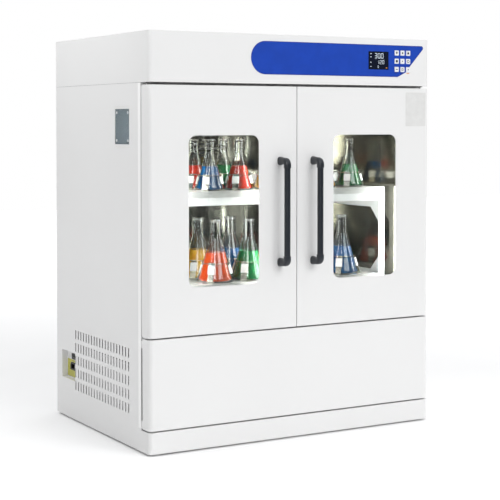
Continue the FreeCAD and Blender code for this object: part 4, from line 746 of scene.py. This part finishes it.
def make_vessels():
    """Glass, liquids, clamp arms, sleeves and bands, each as one piece for all places."""
    glass, arms, sleeves, bands = [], [], [], []
    filled = {name: [] for name in LIQUIDS}
    for size, x, y, colour in tiers():
        stand = (x, y, size["tray"])
        on_clamp = (x, y, size["tray"] + 2 * STRIP + 0.2)
        arms.append(moved(base_disc(size), stand))
        bands.append(moved(band(size), stand))
        for turn in FINGER_TURNS:
            arms.append(moved(finger(size), stand, turn))
            sleeves.append(moved(finger_sleeve(size), stand, turn))
        if colour:
            glass.append(moved(flask_glass(size), on_clamp))
            filled[colour].append(moved(flask_liquid(size), on_clamp))
    clear_glass, spring_steel = FINISHES["flask_glass"], FINISHES["clamp_steel"]
    wall = piece("flask_walls", joined(glass), clear_glass, "platform")
    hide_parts("flasks")
    for name, shapes in filled.items():
        piece(name + "_solution", joined(shapes), LIQUIDS[name], "platform")
    spring_arms = piece("clamp_arms", joined(arms), spring_steel, "platform")
    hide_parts("flask_clamps")
    piece("clamp_bands", joined(bands), spring_steel, "platform")
    piece("clamp_sleeves", joined(sleeves), SLEEVE, "platform")


def swept(path, steps=24):
    """A closed body along a path in the yz plane; each point is (y, z, half width in x, half depth)."""
    corners, faces = [], []
    for i, (y, z, wide, deep) in enumerate(path):
        back = Vector(path[max(i - 1, 0)][:2])
        ahead = Vector(path[min(i + 1, len(path) - 1)][:2])
        along = (ahead - back).normalized()
        for k in range(steps):
            angle = 2 * math.pi * k / steps
            cos, sin = math.cos(angle), math.sin(angle)
            across = math.copysign(abs(cos) ** SQUARENESS, cos) * wide
            off = math.copysign(abs(sin) ** SQUARENESS, sin) * deep
            corners.append((across, y - along.y * off, z + along.x * off))
    for i in range(len(path) - 1):
        for k in range(steps):
            m = (k + 1) % steps
            faces.append((i * steps + k, i * steps + m, (i + 1) * steps + m, (i + 1) * steps + k))
    last = steps * (len(path) - 1)
    faces += [tuple(range(steps)), tuple(range(last + steps - 1, last - 1, -1))]
    return corners, faces


def handle_bracket(x, end, inward):
    """A moulded elbow: a broad foot on the door, a bend, and a socket round the bar."""
    wide, thin = HANDLE_WIDTH / 2, HANDLE_BAR_RADIUS + SOCKET_WALL
    y_bar = Y_FRONT - HANDLE_REACH + HANDLE_WIDTH / 2
    z_foot = end + inward * (wide + FOOT_PROFILE[0][1])
    bend = HANDLE_BEND
    path = [(Y_FRONT - out, z_foot, wide, wide + more) for out, more in FOOT_PROFILE]
    centre = (y_bar + bend, z_foot + inward * bend)
    for share in (0.0, 0.2, 0.4, 0.6, 0.8, 1.0):
        angle = math.pi / 2 * share
        place = (centre[0] - bend * math.sin(angle), centre[1] - inward * bend * math.cos(angle))
        path.append((*place, wide + (thin - wide) * share, wide + (thin - wide) * share))
    foot, rim = end + inward * HANDLE_FOOT, thin - SOCKET_EDGE
    path += [(y_bar, foot - inward * SOCKET_EDGE, thin, thin), (y_bar, foot, rim, rim)]
    return moved(swept(path), (x, 0, 0))


def make_handles():
    for side, body in DOORS:
        x, radius, plastic = side * HANDLE_X, HANDLE_BAR_RADIUS, FINISHES["handle_plastic"]
        low, high = HANDLE_Z
        y_bar = Y_FRONT - HANDLE_REACH + HANDLE_WIDTH / 2
        foot, head = low + HANDLE_FOOT - BAR_OVERLAP, high - HANDLE_FOOT + BAR_OVERLAP
        bar = revolved([(0.0, foot), (radius, foot), (radius, head), (0.0, head)])
        grip = piece(body + "_grip", moved(bar, (x, y_bar, 0)), plastic, body)
        brackets = joined([handle_bracket(x, low, 1), handle_bracket(x, high, -1)])
        elbows = piece(body + "_grip_elbows", brackets, plastic, body)
        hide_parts(body + "_handle")
        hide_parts(body + "_handle")


def window_corners(side):
    u0, u1 = sorted((side * WINDOW_X[0], side * WINDOW_X[1]))
    v0, v1 = WINDOW_Z
    return [(u, v, WINDOW_RADIUS) for u, v in ((u0, v0), (u1, v0), (u1, v1), (u0, v1))]


def make_window_beads():
    """A pale bead round each door window, on the glass and inside the skin's cut edge."""
    for side, body in DOORS:
        corners = window_corners(side)
        outer, inner = rounded(corners), rounded(shrunk(corners, BEAD_WIDTH))
        shape = ring("xz", outer, inner, Y_FRONT + BEAD_SETBACK, Y_FRONT + SHEET)
        piece(body + "_window_bead", shape, FINISHES["gasket_rubber"], body)


def film_openings():
    """The holes for the display and for every key but the last, which the film's end steps round."""
    holes = [rectangle(*DISPLAY_X, *DISPLAY_Z, OPENING_CORNER)]
    reach = KEY_OPENING_HALF
    for x in KEY_X:
        for z in KEY_Z:
            if (x, z) != (KEY_X[2], KEY_Z[2]):
                holes.append(rectangle(x - reach, x + reach, z - reach, z + reach, OPENING_CORNER))
    return holes


def make_film():
    """The film, whose slanted right end steps round the last key, and the dark line along its edge."""
    # A hair under half the height, so that the two arcs of the round end don't meet
    round_end = (FILM_Z[1] - FILM_Z[0]) / 2 - 0.01
    left, top = KEY_X[2] - KEY_OPENING_HALF, KEY_Z[2] + KEY_OPENING_HALF
    corners = [
        (FILM_LEFT, FILM_Z[0], round_end),
        (FILM_RIGHT_LOW, FILM_Z[0], FILM_CORNER),
        (left, FILM_STEP_HEIGHT, FILM_STEP_RADIUS),
        (left, top, FILM_STEP_RADIUS),
        (left + FILM_STEP_WIDTH, top, FILM_STEP_RADIUS),
        (FILM_RIGHT_HIGH, FILM_Z[1], FILM_CORNER),
        (FILM_LEFT, FILM_Z[1], round_end),
    ]
    outline = rounded(corners)
    shape = sheet("xz", [outline] + film_openings(), FILM_FRONT, Y_FRONT)
    film = piece("control_film", shape, FINISHES["control_film"], "cabinet")
    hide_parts("control_overlay")
    inner = rounded(shrunk(corners, FILM_BORDER))
    border = ring("xz", outline, inner, FILM_FRONT - INK, FILM_FRONT)
    piece("film_border", border, EDGE_BLUE, "cabinet")


SEGMENTS = {
    "top": (0.0, 1.0, 1.0, 1.0),
    "middle": (0.0, 0.5, 1.0, 0.5),
    "bottom": (0.0, 0.0, 1.0, 0.0),
    "left_high": (0.0, 0.5, 0.0, 1.0),
    "left_low": (0.0, 0.0, 0.0, 0.5),
    "right_high": (1.0, 0.5, 1.0, 1.0),
    "right_low": (1.0, 0.0, 1.0, 0.5),
}
DIGITS = {
    "0": ("top", "bottom", "left_high", "left_low", "right_high", "right_low"),
    "3": ("top", "middle", "bottom", "right_high", "right_low"),
    "2": ("top", "middle", "bottom", "right_high", "left_low"),
    "1": ("right_high", "right_low"),
}


def dash(x, z, ends, front=FILM_FRONT):
    """A printed bar; its ends (x0, x1, z0, z1) count from x, z."""
    x0, x1, z0, z1 = ends
    return prism("xz", rectangle(x + x0, x + x1, z + z0, z + z1), front - INK, front)


def digit(sign, x, z, height):
    """A seven-segment digit whose foot is at x, z."""
    width, line = DIGIT_WIDTH * height, DIGIT_LINE * height
    bars = []
    for name in DIGITS[sign]:
        u0, v0, u1, v1 = SEGMENTS[name]
        grow_u, grow_v = (0.0, line / 2) if v0 == v1 else (line / 2, -line / 4)
        across = (x + u0 * width - grow_u, x + u1 * width + grow_u)
        upright = (z + v0 * height - grow_v, z + v1 * height + grow_v)
        bars.append(dash(0.0, 0.0, (*across, *upright)))
    return joined(bars)


def make_display_signs():
    """Plain numbers as such a display shows, and small lamps beside them."""
    left, low = DISPLAY_X[0], DISPLAY_Z[0]
    signs = []
    for digits, x, z, height, pitch in DIGIT_ROWS:
        signs += [digit(sign, left + x + i * pitch, low + z, height) for i, sign in enumerate(digits)]
    signs.append(dash(left, low, DECIMAL_POINT))
    for height in ROW_LAMPS_Z:
        signs.append(dash(left, low, (*ROW_LAMPS_X, height, height + ROW_LAMP_HEIGHT)))
    piece("display_digits", joined(signs), INK_PALE, "cabinet")
    lamp = dash(left, low, ORANGE_LAMP)
    piece("display_lamp", lamp, INK_ORANGE, "cabinet")


def disc(radius, count=20):
    angles = [2 * math.pi * i / count for i in range(count)]
    return [(radius * math.cos(a), radius * math.sin(a)) for a in angles]


def block(half_width, half_height):
    return rectangle(-half_width, half_width, -half_height, half_height)


# Signs by the keys' rows and columns, as outlines round the key's middle; two outlines make a frame
ARROW = ((-5.0, 2.0), (0.0, -5.0), (5.0, 2.0), (2.0, 2.0), (2.0, 5.0), (-2.0, 5.0), (-2.0, 2.0))
HOUSE = ((-4.0, -4.0), (4.0, -4.0), (4.0, 1.0), (0.0, 5.0), (-4.0, 1.0))
KEY_SIGNS = (
    ([ARROW], [disc(3.4)], [HOUSE]),
    ([disc(5.0)], [block(2.0, 2.0)], [disc(5.4), disc(3.6)]),
    ([block(4.0, 1.2)], [block(4.0, 4.0), block(2.4, 2.4)], [disc(2.2)]),
)


def key_sign(row, column):
    x, z = KEY_X[column], KEY_Z[row]
    lines = [[(x + u, z + v) for u, v in line] for line in KEY_SIGNS[row][column]]
    make = ring if len(lines) > 1 else prism
    return make("xz", *lines, KEY_FRONT - INK, KEY_FRONT)


def make_key_signs():
    for row in range(len(KEY_Z)):
        for column in range(len(KEY_X)):
            name = f"key_{row + 1}_{column + 1}"
            piece(name + "_sign", key_sign(row, column), INK_DARK, name)
    marks = [dash(x, KEY_Z[2], ROW_MARK) for x in KEY_X[:2]]
    piece("key_row_marks", joined(marks), INK_DARK, "cabinet")
    mark = dash(KEY_X[2], KEY_Z[2], LAMP_MARK, Y_FRONT)
    piece("key_lamp_mark", mark, INK_ORANGE, "cabinet")


def make_door_lips():
    """The pale lip of each gasket, seen in the gap beside the door."""
    for side, body in DOORS:
        u0, u1 = sorted((side * DOOR_LIP_X[0], side * DOOR_LIP_X[1]))
        shape = prism("xy", rectangle(u0, u1, *DOOR_LIP_Y), *DOOR_LIP_Z)
        piece(body + "_lip", shape, FINISHES["gasket_rubber"], body)


def make_notice_sheet():
    outline = rectangle(*NOTICE_X, *NOTICE_Z, NOTICE_CORNER)
    shape = prism("xz", outline, Y_FRONT - NOTICE_THICKNESS, Y_FRONT)
    piece("notice_sheet", shape, PAPER, "right_door")


def in_mm(box):
    """The two corners of a box, in millimetres."""
    return [[value / MM for value in corner] for corner in box]


def make_pocket_plate():
    """A plain plate on the pocket's back wall, round the inlet."""
    (_, inlet_front, _), (_, inlet_back, _) = in_mm(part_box("power_inlet"))
    (_, y_low, z_low), (x_high, y_high, _) = in_mm(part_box("inlet_recess"))
    x_wall = x_high - SHEET
    inset = SHEET + PLATE_MARGIN
    foot = z_low + inset
    outer = rectangle(y_low + inset, y_high - inset, foot, foot + PLATE_HEIGHT, PLATE_CORNER)
    hole_y = (inlet_front - PLATE_HOLE_GAP, inlet_back + PLATE_HOLE_GAP)
    hole_z = [foot + height for height in PLATE_HOLE_Z]
    inner = rectangle(*hole_y, *hole_z, PLATE_HOLE_CORNER)
    plate = ring("yz", outer, inner, x_wall - PLATE_THICKNESS, x_wall)
    piece("inlet_plate", plate, PLATE_GREEN, "cabinet")


def make_side_window_screws():
    """Four screws in the corners of the side window's outer pane."""
    (x, y_low, z_low), (_, y_high, z_high) = in_mm(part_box("side_window_glass"))
    corners, faces = tipped(screw_head(SCREW_RADIUS, PANE_SCREW_HEIGHT), "x")
    head = [(-out, y, z) for out, y, z in corners], faces
    heads = []
    for y in (y_low + PANE_SCREW_INSET, y_high - PANE_SCREW_INSET):
        for z in (z_low + PANE_SCREW_INSET, z_high - PANE_SCREW_INSET):
            heads.append(moved(head, (x, y, z)))
    piece("side_window_screws", joined(heads), FINISHES["key_plastic"], "cabinet")


def make_rear_screws():
    """Pan heads down both sides of the rear panel."""
    (x_low, _, z_low), (x_high, y, z_high) = in_mm(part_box("rear_panel"))
    head = tipped(screw_head(SCREW_RADIUS, REAR_SCREW_HEIGHT), "y")
    step = (z_high - z_low - 2 * REAR_SCREW_INSET_Z) / (REAR_SCREW_ROWS - 1)
    heads = []
    for x in (x_low + REAR_SCREW_INSET_X, x_high - REAR_SCREW_INSET_X):
        for i in range(REAR_SCREW_ROWS):
            heads.append(moved(head, (x, y, z_low + REAR_SCREW_INSET_Z + i * step)))
    piece("rear_screws", joined(heads), FINISHES["hinge_steel"], "cabinet")


def make_edge_highlights():
    """A strip of whiter paint down the rolled front edge of each side panel: a painted highlight."""
    for name, side in (("left_side_edge_highlight", -1), ("right_side_edge_highlight", 1)):
        outline = rectangle(*sorted(side * x for x in EDGE_HIGHLIGHT_X), *EDGE_HIGHLIGHT_Y)
        piece(name, prism("xy", outline, *EDGE_HIGHLIGHT_Z), HIGHLIGHT_WHITE, "cabinet")


# Light, floor and camera


def area_light(name, place, aim, size, power, colour=(1.0, 1.0, 1.0)):
    data = bpy.data.lights.new(name, "AREA")
    data.shape = "RECTANGLE"
    data.size, data.size_y = size
    data.energy = power
    data.color = colour
    made = bpy.data.objects.new(name, data)
    bpy.context.scene.collection.objects.link(made)
    made.location = Vector(place)
    made.rotation_euler = (Vector(aim) - Vector(place)).to_track_quat("-Z", "Y").to_euler()
    return made


def ranged(nodes, links, value, ends, results):
    """The value turned from one range into another."""
    node = nodes.new("ShaderNodeMapRange")
    for socket, number in zip(("From Min", "From Max", "To Min", "To Max"), ends + results):
        node.inputs[socket].default_value = number
    links.new(value, node.inputs["Value"])
    return node.outputs["Result"]


def product(nodes, links, first, second):
    node = nodes.new("ShaderNodeMath")
    node.operation = "MULTIPLY"
    links.new(first, node.inputs[0])
    links.new(second, node.inputs[1])
    return node.outputs["Value"]


def sky_strength(nodes, links, path):
    """Brighter overhead and to the right; reflections see dark cloths all round, up to a height."""
    way = nodes.new("ShaderNodeTexCoord")
    parts = nodes.new("ShaderNodeSeparateXYZ")
    links.new(way.outputs["Generated"], parts.inputs["Vector"])
    height = ranged(nodes, links, parts.outputs["Z"], (0.0, 1.0), SKY_HEIGHT)
    across = ranged(nodes, links, parts.outputs["X"], (-1.0, 1.0), SKY_ACROSS)
    cloth = ranged(nodes, links, parts.outputs["Z"], CLOTH_HEIGHT, (CLOTH, 1.0))
    glossy = nodes.new("ShaderNodeMix")
    links.new(path.outputs["Is Glossy Ray"], glossy.inputs["Factor"])
    glossy.inputs["A"].default_value = 1.0
    links.new(cloth, glossy.inputs["B"])
    return product(nodes, links, product(nodes, links, height, across), glossy.outputs["Result"])


def make_chamber_lights():
    """Tall narrow lights just inside the doors, hidden behind their frames, and one under the ceiling."""
    for x, power in FILLS:
        place, aim = (x, DOOR_LIGHT_Y, DOOR_LIGHT_Z), (x, FILL_AIM_Y, DOOR_LIGHT_Z)
        fill = area_light("door_fill", place, aim, FILL_SIZE, power)
        fill.visible_camera = False
        fill.visible_glossy = False
    lights = []
    for x in GLINTS_X:
        place, aim = (x, DOOR_LIGHT_Y, DOOR_LIGHT_Z), (x + GLINT_AIM_X, 0.0, DOOR_LIGHT_Z)
        lights.append(area_light("glint", place, aim, GLINT_SIZE, GLINT_POWER))
    lights.append(area_light("chamber_glow", **CEILING, colour=CEILING_COLOUR))
    for light in lights:
        light.visible_camera = False
        light.visible_transmission = False


def make_light():
    """A soft sky that the camera itself sees as plain white, three lamps, and the chamber's lights."""
    world = bpy.data.worlds.new("studio")
    bpy.context.scene.world = world
    world.use_nodes = True
    nodes, links = world.node_tree.nodes, world.node_tree.links
    sky = nodes["Background"]
    seen = nodes.new("ShaderNodeBackground")
    mix = nodes.new("ShaderNodeMixShader")
    path = nodes.new("ShaderNodeLightPath")
    links.new(sky_strength(nodes, links, path), sky.inputs["Strength"])
    sky.inputs["Color"].default_value = SKY_COLOUR
    seen.inputs["Strength"].default_value = 1.0
    seen.inputs["Color"].default_value = (1.0, 1.0, 1.0, 1.0)
    links.new(path.outputs["Is Camera Ray"], mix.inputs["Fac"])
    links.new(sky.outputs["Background"], mix.inputs[1])
    links.new(seen.outputs["Background"], mix.inputs[2])
    links.new(mix.outputs["Shader"], nodes["World Output"].inputs["Surface"])
    area_light("key", **KEY_LIGHT).visible_glossy = False
    area_light("streak", **STREAK).visible_diffuse = False
    area_light("side_wash", **SIDE_WASH).visible_glossy = False
    make_chamber_lights()


def make_floor():
    """A pale floor that glows whiter with distance, a painted glow in place of a lit sweep's light."""
    mesh = bpy.data.meshes.new("floor")
    outline = rectangle(-FLOOR_REACH, FLOOR_REACH, FLOOR_FRONT, FLOOR_REACH)
    mesh.from_pydata([(x, y, 0.0) for x, y in outline], [], [(0, 1, 2, 3)])
    made = new_material("floor_painted_glow_finish", (0.95, 0.95, 0.95), Roughness=0.8)
    vary_colour(made, pattern(made, "noise", 1.5), (0.94, 0.94, 0.94), (0.96, 0.96, 0.96))
    nodes, links = made.node_tree.nodes, made.node_tree.links
    place = nodes.new("ShaderNodeTexCoord")
    distance = nodes.new("ShaderNodeVectorMath")
    distance.operation = "LENGTH"
    links.new(place.outputs["Object"], distance.inputs[0])
    # Painted light: the floor's own emission grows with distance from the middle
    glow = ranged(nodes, links, distance.outputs["Value"], FLOOR_PAINTED_GLOW_REACH, FLOOR_PAINTED_GLOW)
    links.new(glow, shader_of(made).inputs["Emission Strength"])
    mesh.materials.append(made)
    floor = bpy.data.objects.new("floor", mesh)
    bpy.context.scene.collection.objects.link(floor)


def make_camera():
    data = bpy.data.cameras.new("camera")
    data.lens = CAMERA_LENS
    data.sensor_width = CAMERA_SENSOR
    data.shift_y = CAMERA_SHIFT
    made = bpy.data.objects.new("camera", data)
    bpy.context.scene.collection.objects.link(made)
    made.location = Vector(CAMERA_PLACE) * MM
    yaw, pitch = math.radians(CAMERA_YAW), math.radians(CAMERA_PITCH)
    way = Vector((math.sin(yaw) * math.cos(pitch), math.cos(yaw) * math.cos(pitch), -math.sin(pitch)))
    made.rotation_euler = way.to_track_quat("-Z", "Y").to_euler()
    bpy.context.scene.camera = made


dress_nodes()
make_vessels()
make_handles()
make_window_beads()
make_door_lips()
make_film()
make_display_signs()
make_key_signs()
make_notice_sheet()
make_pocket_plate()
make_side_window_screws()
make_rear_screws()
make_edge_highlights()
make_floor()
make_light()
make_camera()
bpy.context.scene.view_settings.view_transform = "Standard"
